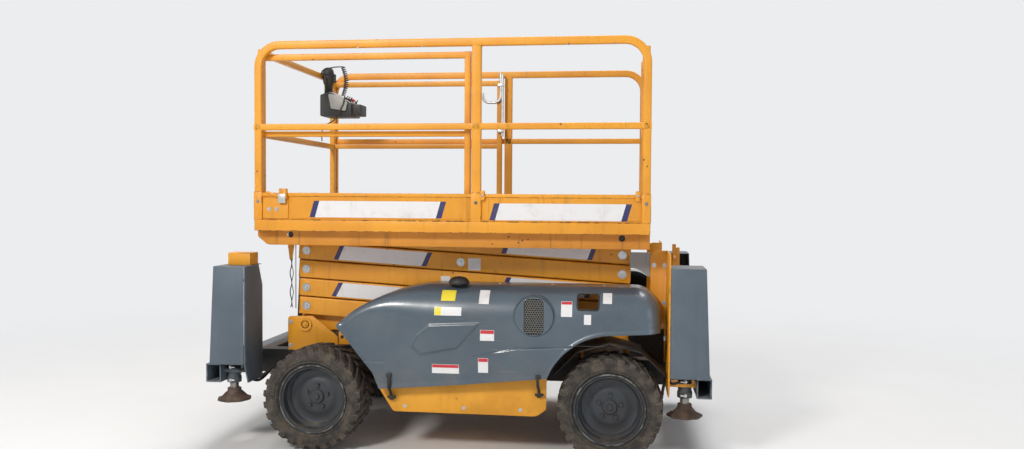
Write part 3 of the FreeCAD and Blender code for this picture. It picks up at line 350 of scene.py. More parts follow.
JACK_GREY = enamel("jack_grey", srgb(86, 96, 102), srgb(66, 74, 78), srgb(92, 66, 44), 0.5, 1.1)
FOOT_IRON = enamel("foot_iron", srgb(92, 74, 64), srgb(66, 50, 42), RUST, 0.62, 1.0)
CYLINDER_BLACK = enamel("cylinder_black", srgb(34, 35, 37), srgb(26, 27, 28), srgb(92, 84, 72), 0.4,
                        0.6)
GUARD_GREY = enamel("guard_grey", srgb(150, 152, 152), srgb(128, 130, 130), srgb(96, 90, 84), 0.4,
                    0.5, 0.5)
HOOD_COVER = moulded_cover()
RUBBER = tyre_rubber()
ZINC = bare_steel("zinc_steel", srgb(196, 198, 198), 0.34, 0.3)
CHROME = bare_steel("chrome_rod", srgb(222, 224, 228), 0.12, 0.06)
WORN_STEEL = bare_steel("worn_steel", srgb(150, 146, 140), 0.46, 0.7)
IRON = enamel("engine_iron", srgb(52, 52, 54), srgb(40, 40, 42), RUST, 0.6, 1.0)
BLACK_PLASTIC = moulded_black()
TANK_PLASTIC = moulded_black("tank_plastic", srgb(34, 35, 38))
PALE_GREY = moulded_black("pale_grey_box", srgb(168, 168, 164))
# Painted shade: dark strips laid round the hood's raised panel and along its crease
SHADE_LINE_GREY = moulded_black("shade_line_grey", srgb(50, 58, 66))
# Painted highlight: the black wire mesh given a pale grey for the light on its cell edges
MESH_WIRE_PAINTED_HIGHLIGHT = moulded_black("mesh_wire_painted_highlight", srgb(112, 112, 108))
# Black for latches and knobs, and painted shade for the vent opening and the skirt and bracket holes
BLACK_PARTS_AND_HOLE_SHADE = moulded_black("black_parts_and_hole_shade", srgb(20, 20, 21))
HOSE = hose_rubber()
TREAD = tread_plate()
WHITE_FILM = vinyl("white_film", srgb(226, 225, 226))
NAVY_FILM = vinyl("navy_film", srgb(44, 44, 96))
YELLOW_FILM = vinyl("yellow_film", srgb(236, 214, 52))
RED_FILM = vinyl("red_film", srgb(196, 44, 58))


# Shapes

class Form:
    """A piece's mesh, put together from rounded blocks, plates, bars and turned rings."""

    def __init__(self):
        self.points = []
        self.faces = []
        self.worn = []

    def take(self, part, bevel=0.0, steps=2, angle=28):
        """Adds a shape, its sharp edges rounded, and marks the rounded faces as wearing edges."""
        bmesh.ops.recalc_face_normals(part, faces=part.faces)
        rounded = set()
        if bevel:
            sharp = [e for e in part.edges
                     if e.is_manifold and e.calc_face_angle() > math.radians(angle)]
            made = bmesh.ops.bevel(
                part, geom=sharp, offset=bevel, segments=steps, profile=0.5, affect="EDGES",
                clamp_overlap=True
            )
            rounded = set(made["faces"])
        start = len(self.points)
        part.verts.index_update()
        self.points += [vertex.co.copy() for vertex in part.verts]
        for face in part.faces:
            self.faces.append([start + vertex.index for vertex in face.verts])
            self.worn.append(1.0 if face in rounded else 0.0)
        part.free()
        return self

    def flip(self):
        """Moves all that is there to the other side of the machine."""
        self.points = [Vector((p.x, -p.y, p.z)) for p in self.points]
        self.faces = [face[::-1] for face in self.faces]
        return self

    def mirror(self):
        """Adds a copy of all that is there on the other side of the machine."""
        return self.add(Form().add(self).flip())

    def moved(self, matrix):
        self.points = [matrix @ point for point in self.points]
        return self

    def add(self, other):
        start = len(self.points)
        self.points += other.points
        self.faces += [[start + index for index in face] for face in other.faces]
        self.worn += other.worn
        return self


def piece(name, form, finish, body, replaces=(), smooth=36):
    """An object of the scene that rides a body; smooth is the sharpest angle that is shaded round."""
    mesh = bpy.data.meshes.new(name)
    mesh.from_pydata(form.points, [], form.faces)
    worn = mesh.attributes.new("edge", "FLOAT", "CORNER")
    worn.data.foreach_set("value", [w for face, w in zip(form.faces, form.worn) for _ in face])
    mesh.materials.append(finish)
    mesh.polygons.foreach_set("use_smooth", [True] * len(mesh.polygons))
    mesh.set_sharp_from_angle(angle=math.radians(smooth))
    made = bpy.data.objects.new(name, mesh)
    bpy.context.scene.collection.objects.link(made)
    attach(made, body)
    if replaces:
        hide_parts(*replaces)


def block(low, high):
    part = bmesh.new()
    size = Vector(high) - Vector(low)
    middle = (Vector(high) + Vector(low)) / 2
    matrix = Matrix.Translation(middle) @ Matrix.Diagonal((*size, 1))
    bmesh.ops.create_cube(part, size=1, matrix=matrix)
    return part


def bridge(part, first, second, closed=True):
    """Faces between two rows of corners."""
    count = len(first)
    for index in range(count if closed else count - 1):
        after = (index + 1) % count
        part.faces.new((first[index], second[index], second[after], first[after]))


def sheets(plane, outline, start, stop):
    """Corners of an outline in a plane, at two depths across it."""
    def lifted(a, b, depth):
        return {"xz": (a, depth, b), "xy": (a, b, depth)}[plane]

    return [[lifted(a, b, depth) for a, b in outline] for depth in (start, stop)]


def slab(rows):
    """A closed plate between two rows of corners."""
    part = bmesh.new()
    first, second = ([part.verts.new(corner) for corner in row] for row in rows)
    part.faces.new(first)
    part.faces.new(reversed(second))
    bridge(part, first, second)
    return part


def prism(plane, outline, start, stop):
    """A plate whose outline lies in a plane, from one depth across it to another."""
    return slab(sheets(plane, outline, start, stop))


def corner_arc(before, here, after, radius, steps):
    """Points of the arc that rounds a corner."""
    back, ahead = (before - here).normalized(), (after - here).normalized()
    turn = math.pi - back.angle(ahead)
    centre = here + (back + ahead).normalized() * (radius / math.cos(turn / 2))
    first = here + back * radius * math.tan(turn / 2) - centre
    last = here + ahead * radius * math.tan(turn / 2) - centre
    return [
        centre + (first * math.sin(turn - done) + last * math.sin(done)) / math.sin(turn)
        for done in (turn * step / steps for step in range(steps + 1))
    ]


def rounded(corners, steps=5):
    """Outline with its corners, given as (a, b, radius), turned into arcs."""
    outline = []
    spots = [Vector(corner[:2]) for corner in corners]
    for index, (a, b, radius) in enumerate(corners):
        if radius <= 0:
            outline.append((a, b))
            continue
        after = spots[(index + 1) % len(spots)]
        arc = corner_arc(spots[index - 1], spots[index], after, radius, steps)
        outline += [(spot.x, spot.y) for spot in arc]
    return outline


def rectangle(x0, x1, z0, z1, radius=0.0, steps=5):
    corners = ((x0, z0), (x1, z0), (x1, z1), (x0, z1))
    return rounded([(*corner, radius) for corner in corners], steps)


def dense(outline, spacing, closed=True):
    """The outline with points put in, so that none are farther apart than about the spacing."""
    points = []
    for (x, z), (next_x, next_z) in zip(outline, outline[1:] + outline[:closed]):
        count = max(1, round(math.hypot(next_x - x, next_z - z) / spacing))
        points += [(x + (next_x - x) * k / count,
                    z + (next_z - z) * k / count) for k in range(count)]
    return points + [outline[0] if closed else outline[-1]]


def circle(count, first=0.0):
    """Angles of evenly spaced places round a circle, the first of them given in places."""
    return [2 * math.pi * (step + first) / count for step in range(count)]


def axes_along(direction):
    direction = Vector(direction).normalized()
    helper = Vector((0, 0, 1)) if abs(direction.z) < 0.9 else Vector((1, 0, 0))
    side = direction.cross(helper).normalized()
    return side, side.cross(direction).normalized(), direction


def lathe(profile, origin, axis, steps=32):
    """A closed outline of (radius, distance along the axis) points, turned about the axis."""
    side, up, ahead = axes_along(axis)
    origin = Vector(origin)
    part = bmesh.new()
    rings = []
    for radius, along in profile:
        middle = origin + ahead * along
        spots = [middle]
        if radius > 1e-6:
            spots = [middle + (side * math.cos(turn) + up * math.sin(turn)) * radius
                     for turn in circle(steps)]
        rings.append([part.verts.new(spot) for spot in spots])
    for ring, following in zip(rings, rings[1:] + rings[:1]):
        if len(ring) == 1 and len(following) == 1:
            continue
        for step in range(steps):
            after = (step + 1) % steps
            places = ((ring, step), (ring, after), (following, after), (following, step))
            part.faces.new(dict.fromkeys(row[place % len(row)] for row, place in places))
    return part


def bar(start, stop, radius, steps=24, chamfer=0.0):
    """A round bar from one point to another."""
    start, stop = Vector(start), Vector(stop)
    length = (stop - start).length
    profile = [(0, 0), (radius, 0), (radius, length), (0, length)]
    if chamfer:
        profile[1:3] = [(radius - chamfer, 0), (radius, chamfer), (radius, length - chamfer),
                        (radius - chamfer, length)]
    return lathe(profile, start, stop - start, steps)


def cross_bar(spot, y0, y1, radius, steps=24, chamfer=0.0):
    """A bar across the machine through a spot."""
    return bar(spot + Vector((0, y0, 0)), spot + Vector((0, y1, 0)), radius, steps, chamfer)


def bolt_head(spot, axis, radius=0.011, height=0.008, washer=1.5):
    """A hexagon head on its washer."""
    form = Form()
    form.take(lathe([(0, 0), (radius * washer, 0), (radius * washer, 0.0022), (0, 0.0022)], spot,
                    axis, 20))
    head = [(0, 0.002), (radius, 0.002), (radius, height * 0.8), (radius * 0.86, height),
            (0, height)]
    return form.take(lathe(head, spot, axis, 6))


def smooth_path(points, radii, steps=6):
    """A path whose inner corners are arcs of the given radii."""
    points = [Vector(point) for point in points]
    path = points[:1]
    for before, here, after, radius in zip(points, points[1:], points[2:], radii):
        path += corner_arc(before, here, after, radius, steps)
    return path + points[-1:]


def curved_path(points, steps=8):
    """A soft curve through all the points."""
    points = [Vector(p) for p in points]
    points = [points[0] * 2 - points[1]] + points + [points[-1] * 2 - points[-2]]
    path = []
    for a, b, c, d in zip(points, points[1:], points[2:], points[3:]):
        bend, twist = 2 * a - 5 * b + 4 * c - d, 3 * b - a - 3 * c + d
        for t in (step / steps for step in range(steps)):
            path.append(0.5 * (2 * b + (c - a) * t + bend * t**2 + twist * t**3))
    return path + [points[-2]]


def swept(path, section, normal=None):
    """A section of (across, up) points carried along a path; normal keeps it upright."""
    part = bmesh.new()
    rings = []
    across = None
    for index, point in enumerate(path):
        before = path[max(index - 1, 0)]
        after = path[min(index + 1, len(path) - 1)]
        ahead = (after - before).normalized()
        if normal is not None:
            across = Vector(normal).normalized()
        elif across is None:
            across = axes_along(ahead)[0]
        else:
            across = (across - ahead * across.dot(ahead)).normalized()
        up = ahead.cross(across).normalized()
        inner = 0 < index < len(path) - 1
        stretch = 1 / math.cos((point - before).angle(after - point) / 2) if inner else 1.0
        rings.append([part.verts.new(point + across * a + up * (b * stretch)) for a, b in section])
    for ring, following in zip(rings, rings[1:]):
        bridge(part, ring, following)
    part.faces.new(rings[0])
    part.faces.new(reversed(rings[-1]))
    return part


def hose(points, radius, steps=12):
    return swept(curved_path(points), round_section(radius, steps))


def round_section(radius, steps=12):
    return [(radius * math.cos(turn), radius * math.sin(turn)) for turn in circle(steps)]


def tube_section(width, height, radius, steps=3):
    a, b = width / 2, height / 2
    return rectangle(-a, a, -b, b, radius, steps)


def cad_copy(node, bevel, steps=2):
    """The solid of a node with its flat faces joined up and its edges rounded."""
    part = bmesh.new()
    part.from_mesh(NODES[node].data)
    bmesh.ops.remove_doubles(part, verts=part.verts, dist=2e-5)
    bmesh.ops.dissolve_limit(part, angle_limit=math.radians(1), verts=part.verts, edges=part.edges)
    return Form().take(part, bevel, steps)


# Wheels

LUGS, LUG_HEIGHT, LUG_REACH, LUG_WIDTH = 26, 0.018, 0.032, 0.036
WHEEL_FACE = 0.779  # how far out the discs of the rims stand


def tyre_profile(radius, half, lip_radius):
    base = radius - LUG_HEIGHT
    section = [
        (lip_radius - 0.026, half - 0.031), (lip_radius + 0.001, half - 0.0305),
        (lip_radius + 0.006, half - 0.016), (lip_radius + 0.014, half - 0.008),
        (lip_radius + 0.022, half - 0.011), (lip_radius + 0.028, half - 0.004),
        (base - 0.038, half - 0.0005), (base - 0.018, half - 0.004), (base - 0.006, half - 0.012),
        (base, half - 0.026), (base + 0.002, half * 0.4), (base + 0.003, 0),
    ]
    return section + [(r, -y) for r, y in reversed(section[:-1])]


def lug_pair(radius, half):
    """One slanted lug of each half of the tread, at the top of the wheel."""
    top = radius - 0.0012
    outline = [(-LUG_REACH - LUG_WIDTH / 2, 0.006), (-LUG_REACH + LUG_WIDTH / 2, 0.006),
               (LUG_REACH + LUG_WIDTH * 0.62, half - 0.002),
               (LUG_REACH - LUG_WIDTH * 0.5, half - 0.002)]
    part = prism("xy", outline, radius - LUG_HEIGHT - 0.05, top)
    for vertex in part.verts:
        share = max(0, (vertex.co.y - (half - 0.03)) / 0.028)
        if vertex.co.z > radius - LUG_HEIGHT:
            vertex.co.z = math.sqrt(top**2 - vertex.co.x**2) - 0.009 * share
    lug = Form().take(part, 0.0045, 2)
    other = Form().add(lug).flip().moved(Matrix.Rotation(math.pi / LUGS, 4, "Y"))
    both = Form().add(lug).add(other)
    both.worn = [1.0 if mark > 0 else 0.15 for mark in both.worn]
    return both


def rim_profile(disc, face, lip_radius):
    return [
        (0, disc - 0.016), (lip_radius - 0.037, disc - 0.016), (lip_radius - 0.037, -face),
        (lip_radius - 0.001, -face), (lip_radius - 0.001, -face + 0.009),
        (lip_radius - 0.0275, -face + 0.012), (lip_radius - 0.0275, face - 0.012),
        (lip_radius - 0.002, face - 0.010), (lip_radius, face - 0.005), (lip_radius - 0.003, face),
        (lip_radius - 0.010, face + 0.001), (lip_radius - 0.016, face - 0.004),
        (lip_radius - 0.024, face - 0.020), (lip_radius - 0.030, disc + 0.032),
        (lip_radius - 0.044, disc + 0.020), (lip_radius - 0.050, disc + 0.004),
        (lip_radius - 0.060, disc), (0.122, disc), (0.112, disc + 0.007), (0.090, disc + 0.008),
        (0, disc + 0.008),
    ]


def wheel(end, side_name, side):
    corner = end + "_" + side_name
    body = "wheel_" + corner
    low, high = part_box("tyre_" + corner)
    middle = (low + high) / 2
    radius = PIVOT["roll_" + corner].z
    half = (high.y - low.y) / 2
    axis = (0, side, 0)
    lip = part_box("rim_" + corner)
    lip_radius = (lip[1].z - lip[0].z) / 2

    rubber = Form().take(lathe(tyre_profile(radius, half, lip_radius), middle, axis, 96))
    lugs = lug_pair(radius, half)
    for turn in circle(LUGS):
        rubber.add(Form().add(lugs).moved(Matrix.Translation(middle) @ Matrix.Rotation(turn, 4, "Y")))
    piece("tyre_" + corner + "_rubber", rubber, RUBBER, body, ["tyre_" + corner])

    disc = WHEEL_FACE - abs(middle.y)
    steps, lip_rings = 72, (7, 8, 9)
    rim = Form().take(lathe(rim_profile(disc, half - 0.020, lip_radius), middle, axis, steps))
    rim.worn = [1.0 if index // steps in lip_rings else 0.0 for index in range(len(rim.faces))]
    hub = middle + Vector((0, side * (disc + 0.007), 0))
    rim.take(lathe([(0, 0), (0.046, 0), (0.046, 0.010), (0.040, 0.016), (0, 0.017)], hub, axis, 36))
    rim.add(bolt_head(middle + Vector((0, side * (disc + 0.022), 0)), axis, 0.021, 0.012, 1.2))
    for turn in circle(5, 0.2):
        spot = middle + Vector((0.072 * math.cos(turn), side * (disc + 0.007),
                                0.072 * math.sin(turn)))
        rim.add(bolt_head(spot, axis, 0.013, 0.016, 1.35))
    piece("rim_" + corner + "_disc", rim, RIM_GREY, body, ["rim_" + corner])


# Scissor stack

CROSS_SHARE, PIN_SHARE = 0.062, 0.107
LEVELS = range(1, 6)
LEFT = [PIVOT["lift"]] + [PIVOT["fold_" + str(level)]
                          for level in range(2, 6)] + [PIVOT["platform_level"]]
MIDDLE = {level: PIVOT["cross_" + str(level)] for level in LEVELS}
RIGHT_X = 2 * MIDDLE[1].x - LEFT[0].x
RIGHT = [Vector((RIGHT_X, 0, point.z)) for point in LEFT]
INNER_Y, OUTER_Y, ARM_THICK, ARM_HIGH, ARM_OVER = 0.321, 0.387, 0.060, 0.118, 0.054
PIN_RADIUS, PIN_END = 0.029, 0.453
PIN_START = INNER_Y + ARM_THICK - 0.002
LUG_PLATES, LUG_THICK = (-0.052, 0.038), 0.014  # plates beside the eyes of the lift cylinder


def roller(arms, spot, stub_from):
    """A stub with the roller that runs in a channel."""
    arms.take(cross_bar(spot, stub_from, 0.463, 0.021))
    arms.take(cross_bar(spot, 0.462, 0.496, 0.0298, 32, 0.002))


def arm_beam(start, stop, inner_y):
    """One arm of the stack: a closed box section with rounded edges, and a boss round each pin."""
    ahead = (stop - start).normalized()
    ends = [start - ahead * ARM_OVER, start - ahead * (ARM_OVER - 0.004)]
    ends += [stop + ahead * (ARM_OVER - 0.004), stop + ahead * ARM_OVER]
    up = Vector((-ahead.z, 0, ahead.x))
    across = Vector((0, inner_y + ARM_THICK / 2, 0))
    form = Form().take(swept([p + across for p in ends],
                             tube_section(ARM_HIGH, ARM_THICK, 0.008, 4), up))
    bore = PIN_RADIUS + 0.0005
    boss = [(bore, 0), (PIN_RADIUS + 0.014, 0), (PIN_RADIUS + 0.014, 0.003),
            (PIN_RADIUS + 0.010, 0.0045),
            (bore, 0.0045)]
    for at in (start, stop, (start + stop) / 2):
        form.take(lathe(boss, at + Vector((0, inner_y + ARM_THICK - 0.001, 0)), (0, 1, 0), 32))
    return form


def pin_head(spot, side):
    """Turned head of a pivot pin with its keeper plate and bolt."""
    out = Vector((0, side, 0))
    profile = [(0, -0.0015), (0.0288, -0.0015), (0.0288, 0.003), (0.0272, 0.005), (0.021, 0.005),
               (0.0195, 0.003), (0, 0.003)]
    form = Form().take(lathe(profile, spot, out, 32))
    return form.add(bolt_head(spot + out * 0.002, out, 0.0105, 0.009, 1.45))


def barrel_lugs(arms, pin, tube):
    """Plates and pin that hold the barrel's eye."""
    corners = [(tube.x, pin.z - 0.03, 0), (tube.x, pin.z + 0.03, 0),
               (pin.x - 0.03, pin.z + 0.03, 0.028),
               (pin.x - 0.03, pin.z - 0.03, 0.028)]
    for y0 in LUG_PLATES:
        arms.take(prism("xz", rounded(corners), y0, y0 + LUG_THICK), 0.002)
    arms.take(cross_bar(pin, -0.052, 0.052, 0.022))


def rod_lugs(arms, start, stop):
    """Bored plates that the rod's eye stands between, on a tube above the arms' middle line."""
    ahead = (stop - start).normalized()
    up = Vector((-ahead.z, 0, ahead.x))
    pin = start.lerp(stop, PIN_SHARE)
    tube = pin + ahead * 0.096 + up * 0.047
    outline = []
    for spot, reach, sides in ((tube, 0.020, ((1, -1), (1, 1), (-1, 1))),
                               (pin, 0.030, ((-1, 1), (-1, -1), (1, -1)))):
        outline += [spot + ahead * (reach * a) + up * (reach * b) for a, b in sides]
    for y0 in LUG_PLATES:
        arms.take(plate_with_bore([(p.x, p.z) for p in outline], pin, 0.0226, y0, y0 + LUG_THICK))
    arms.take(cross_bar(tube, -INNER_Y - 0.001, INNER_Y + 0.001, 0.020))


def plate_with_bore(outline, centre, radius, y0, y1):
    """A plate in the x, z plane whose outline is seen from a point within, around a round hole."""
    part = bmesh.new()
    places = []
    for (x, z), after in zip(outline, outline[1:] + outline[:1]):
        places += [(x + (after[0] - x) * share,
                    z + (after[1] - z) * share) for share in (k / 6 for k in range(6))]
    rings = []
    for depth in (y0, y1):
        rings.append([part.verts.new((x, depth, z)) for x, z in places])
        away = [Vector((x - centre.x, z - centre.z)).normalized() * radius for x, z in places]
        rings.append([part.verts.new((centre.x + a.x, depth, centre.z + a.y)) for a in away])
    for first, second in ((0, 1), (1, 3), (3, 2), (2, 0)):
        bridge(part, rings[first], rings[second])
    return part


def inner_pair(level):
    start, middle, stop = LEFT[level - 1], MIDDLE[level], RIGHT[level]
    foot = start if level == 1 else None
    rolling = stop if level == LEVELS[-1] else None
    body = "inner_arms_" + str(level)
    arms = arm_beam(start, stop, INNER_Y)
    for spot in (start, middle, stop):
        if spot is rolling:
            roller(arms, spot, PIN_START)
        else:
            arms.take(cross_bar(spot, PIN_START, 0.471 if spot is foot else PIN_END - 0.006,
                                PIN_RADIUS, 32))
    arms.mirror()
    for share in (CROSS_SHARE, 1 - CROSS_SHARE):
        if level != 3 or share > 0.5:
            arms.take(cross_bar(start.lerp(stop, share), -INNER_Y - 0.001, INNER_Y + 0.001, 0.034,
                                32))
    if level == 1:
        barrel_lugs(arms, start.lerp(stop, 1 - PIN_SHARE), start.lerp(stop, 1 - CROSS_SHARE))
    if level == 3:
        rod_lugs(arms, start, stop)
    piece(body + "_beams", arms, ORANGE, body, [body])
    heads = Form()
    for spot in (start, middle, stop):
        if spot is not foot and spot is not rolling:
            heads.add(pin_head(spot + Vector((0, PIN_END - 0.004, 0)), FAR))
    piece(body + "_pin_heads", heads.mirror(), ZINC, body)
    if foot:
        ends = pin_head(foot + Vector((0, 0.474, 0)), FAR).mirror()
        piece(body + "_foot_pins", ends, ORANGE, body)


def outer_pair(level):
    start, stop = RIGHT[level - 1], LEFT[level]
    body = "outer_arms_" + str(level)
    arms = arm_beam(start, stop, OUTER_Y)
    if level == 1:
        roller(arms, start, 0.445)
    if level == LEVELS[-1]:
        arms.take(cross_bar(stop, 0.445, 0.474, PIN_RADIUS, 32, 0.003))
    piece(body + "_beams", arms.mirror(), ORANGE, body, [body])


# Lift cylinder

def lift_cylinder():
    low = PIVOT["lift_barrel_swing"]
    high = LEFT[2].lerp(RIGHT[3], PIN_SHARE)
    ahead = (high - low).normalized()
    up = Vector((-ahead.z, 0, ahead.x))
    length = (high - low).length
    half = 0.035
    side = Vector((0, 1, 0))
    barrel = Form()
    tube = [(0.0345, 0.12), (0.0345, length - 0.150), (0.047, length - 0.150),
            (0.052, length - 0.155),
            (0.052, length - 0.200), (0.0495, length - 0.205), (0.0495, 0.105), (0.044, 0.100),
            (0.030, 0.098),
            (0.030, 0.040), (0.012, 0.040), (0.012, 0.12)]
    barrel.take(lathe(tube, low, ahead, 48))
    eye = [(0.0225, -half), (0.046, -half), (0.048, -half + 0.002), (0.048, half - 0.002),
           (0.046, half),
           (0.0225, half)]
    barrel.take(lathe(eye, low, side, 40))
    for at in (0.14, length - 0.24):
        spot = low + ahead * at
        barrel.take(bar(spot + up * 0.045, spot + up * 0.068, 0.014, 16, 0.002))
        barrel.take(bar(spot + up * 0.062, spot + up * 0.076, 0.010, 6))
    piece("lift_barrel_tube", barrel, CYLINDER_BLACK, "lift_barrel",
          ["lift_barrel"])
    rod = Form().take(bar(low + ahead * 0.125, high - ahead * 0.036, 0.0335, 48))
    piece("lift_rod_chrome", rod, CHROME, "lift_rod", ["lift_rod"])
    end = Form()
    eye = [(0, -half), (0.040, -half), (0.042, -half + 0.002), (0.042, half - 0.002), (0.040, half),
           (0, half)]
    end.take(lathe(eye, high, side, 40))
    end.take(bar(high - side * (half + 0.0015), high + side * (half + 0.0015), 0.0218, 24))
    end.take(lathe([(0, 0), (0.036, 0), (0.038, 0.006), (0.038, 0.026), (0, 0.030)],
                   high - ahead * 0.062, ahead, 32))
    piece("lift_rod_eye", end, CYLINDER_BLACK, "lift_rod")


# Hoods

def arc_height(first, via, last):
    """Height over x on the circle through three (x, z) points, on the middle one's side."""
    (ax, az), (bx, bz), (cx, cz) = first, via, last
    turn = 2 * (ax * (bz - cz) + bx * (cz - az) + cx * (az - bz))
    aa, bb, cc = ax * ax + az * az, bx * bx + bz * bz, cx * cx + cz * cz
    middle_x = (aa * (bz - cz) + bb * (cz - az) + cc * (az - bz)) / turn
    middle_z = (aa * (cx - bx) + bb * (ax - cx) + cc * (bx - ax)) / turn
    radius = math.hypot(ax - middle_x, az - middle_z)
    side = 1 if bz > middle_z else -1
    return lambda x: middle_z + side * math.sqrt(max(0, radius * radius - (x - middle_x) ** 2))


def line_height(first, last):
    slope = (last[1] - first[1]) / (last[0] - first[0])
    return lambda x: first[1] + slope * (x - first[0])


# each run of an outline: (where it ends, its height over x)
HOOD_TOP = (
    (-0.533, arc_height((-0.732, 0.805), (-0.640, 0.888), (-0.533, 0.952))),
    (-0.130, arc_height((-0.533, 0.952), (-0.345, 1.028), (-0.130, 1.065))),
    (1.140, line_height((-0.130, 1.065), (1.140, 1.065))),
    (1.299, arc_height((1.140, 1.065), (1.253, 1.018), (1.299, 0.905))),
)
HOOD_EDGE = (
    (-0.672, line_height((-0.732, 0.805), (-0.672, 0.740))),
    (-0.489, line_height((-0.672, 0.740), (-0.489, 0.514))),
    (-0.451, line_height((-0.489, 0.514), (-0.451, 0.410))),
    (0.071, line_height((-0.451, 0.410), (0.071, 0.454))),
    (0.612, line_height((0.071, 0.454), (0.612, 0.515))),
    (0.632, line_height((0.612, 0.515), (0.632, 0.560))),
    (0.960, arc_height((0.632, 0.560), (0.748, 0.697), (0.960, 0.783))),
    (1.299, line_height((0.960, 0.783), (1.299, 0.802))),
)
HOOD_INNER_Y, HOOD_REAR = 0.520, 1.299
# the folded lower edge: how far in from the side and up from the edge
HOOD_LIP = ((0.018, 0.006), (0.014, 0.001), (0.003, -0.0005))
# rows of the mesh: low on the side, high on it, and on the roll below, at and above the window
COARSE_ROWS, FINE_ROWS, ROLL_ROWS = 18, 52, (6, 8, 8)
COARSE_SHARE = 0.477
SLOPE_STEP = 0.004
PLAN_START, PLAN_RADIUS = 1.199, 0.100
VENT_X, VENT_Z, VENT_FACE = 0.528, 0.891, 0.892
VENT_HALF_WIDTH, VENT_HALF_HEIGHT, VENT_CHAMFER = 0.061, 0.111, 0.022
WINDOW_X = (0.791, 0.923)
WINDOW_TURNS = (math.asin(0.3907), math.asin(0.8279))
PANEL = ((-0.244, 0.684), (-0.180, 0.634), (0.051, 0.682), (0.186, 0.840), (-0.128, 0.823),
         (-0.202, 0.758))
CREASE = ((0.145, 0.633), (0.413, 0.695), (0.751, 0.717), (0.960, 0.720))


def run_height(runs, x):
    return next((height(x) for end, height in runs if x <= end + 1e-9), runs[-1][1](x))


def eased(value, low, high):
    share = min(1, max(0, (value - low) / (high - low)))
    return share * share * (3 - 2 * share)


def hood_roll(x):
    """Height at which the side begins to roll over, and how far the roll goes in and up."""
    low, high = run_height(HOOD_EDGE, x), run_height(HOOD_TOP, x)
    up = min(0.06 + 0.155 * eased(x, -0.6, -0.1), 0.7 * (high - low))
    return high - up, 0.88 * up, up


def moulded(x, z):
    """How far shapes pressed into the cover stand out of it."""
    inside = min(
        ((bx - ax) * (z - az) - (bz - az) * (x - ax)) / math.hypot(bx - ax, bz - az)
        for (ax, az), (bx, bz) in zip(PANEL, PANEL[1:] + PANEL[:1])
    )
    out = 0.008 * eased(inside, -0.010, 0.012)
    if x > CREASE[0][0]:
        for (ax, az), (bx, bz) in zip(CREASE, CREASE[1:]):
            if ax <= x <= bx:
                below = az + (bz - az) * (x - ax) / (bx - ax) - z
                out += 0.019 * eased(x, 0.145, 0.62) * eased(below, -0.003, 0.012)
    out += 0.005 * eased(run_height(HOOD_EDGE, x) + 0.030 - z, 0, 0.022)
    return out - 0.035 * eased(0.117 - math.hypot(x - VENT_X, z - VENT_Z), 0, 0.010)


def hood_side(x, z):
    """How far out the cover stands at a place seen from the side."""
    start, across, up = hood_roll(x)
    out = 0.886 - 0.306 * (min(z, start) - 0.66) ** 2
    if z > start:
        out -= across * (1 - math.sqrt(max(0, 1 - min(1, (z - start) / up) ** 2)))
    if x > PLAN_START:
        out -= PLAN_RADIUS - math.sqrt(max(0, PLAN_RADIUS**2 - (x - PLAN_START) ** 2))
    return out + moulded(x, z)


def hood_columns():
    """Places along the hood; closer together where shapes are pressed into it."""
    stops = (-0.732, -0.672, -0.533, -0.489, -0.451, -0.260, 0.200, 0.400, 0.612, 0.632, 0.791,
             0.923, 0.960,
             1.140, PLAN_START)
    counts = (8, 12, 5, 6, 16, 102, 24, 40, 4, 26, 12, 4, 14, 6)
    places = [
        start + (stop - start) * step / count
        for start, stop, count in zip(stops, stops[1:], counts)
        for step in range(count)
    ]
    turns = [math.pi / 2 * step / 14 for step in range(15)]
    return places + [PLAN_START + PLAN_RADIUS * math.sin(turn) for turn in turns]


def hood_column(x):
    """Points (y, z) of the cover from its folded lower edge up, over the roll, to its hinge."""
    low, high = run_height(HOOD_EDGE, x), run_height(HOOD_TOP, x)
    start, _, up = hood_roll(x)
    side = start - low
    heights = [low + side * step / COARSE_ROWS * COARSE_SHARE for step in range(COARSE_ROWS + 1)]
    for step in range(1, FINE_ROWS + 1):
        heights.append(low + side * (COARSE_SHARE + (1 - COARSE_SHARE) * step / FINE_ROWS))
    turns = (0, *WINDOW_TURNS, math.pi / 2)
    for first, last, rows in zip(turns, turns[1:], ROLL_ROWS):
        heights += [start + up * math.sin(first + (last - first) * step / rows)
                    for step in range(1, rows + 1)]
    foot = hood_side(x, low)
    points = [(foot - inward, low + rise) for inward, rise in HOOD_LIP]
    points += [(hood_side(x, z), z) for z in heights]
    last = points[-1][0]
    return points + [(last + (HOOD_INNER_Y - last) * step / 4, high) for step in range(1, 5)]


def hood_shell():
    """The cover with its window and its closed rear end."""
    places = hood_columns()
    part = bmesh.new()
    rings = [[part.verts.new((x, y, z)) for y, z in hood_column(x)] for x in places]
    first_row = len(HOOD_LIP) + COARSE_ROWS + FINE_ROWS + ROLL_ROWS[0]
    opening = range(first_row, first_row + ROLL_ROWS[1])
    worn = []
    for x, ring, following in zip(places, rings, rings[1:]):
        in_window = WINDOW_X[0] - 1e-6 < x < WINDOW_X[1] - 1e-6
        for row in range(len(ring) - 1):
            if in_window and row in opening:
                continue
            face = part.faces.new((ring[row], following[row], following[row + 1], ring[row + 1]))
            x0, _, z0 = face.calc_center_median()
            slope = abs(moulded(x0 + SLOPE_STEP, z0) - moulded(x0 - SLOPE_STEP, z0))
            slope += abs(moulded(x0, z0 + SLOPE_STEP) - moulded(x0, z0 - SLOPE_STEP))
            worn.append(0.3 if slope > 0.0024 else 0.0)
    corner = part.verts.new((HOOD_REAR, HOOD_INNER_Y, run_height(HOOD_EDGE, HOOD_REAR)))
    part.faces.new(rings[-1] + [corner])
    form = Form().take(part)
    form.worn = worn + [0.0]
    return form


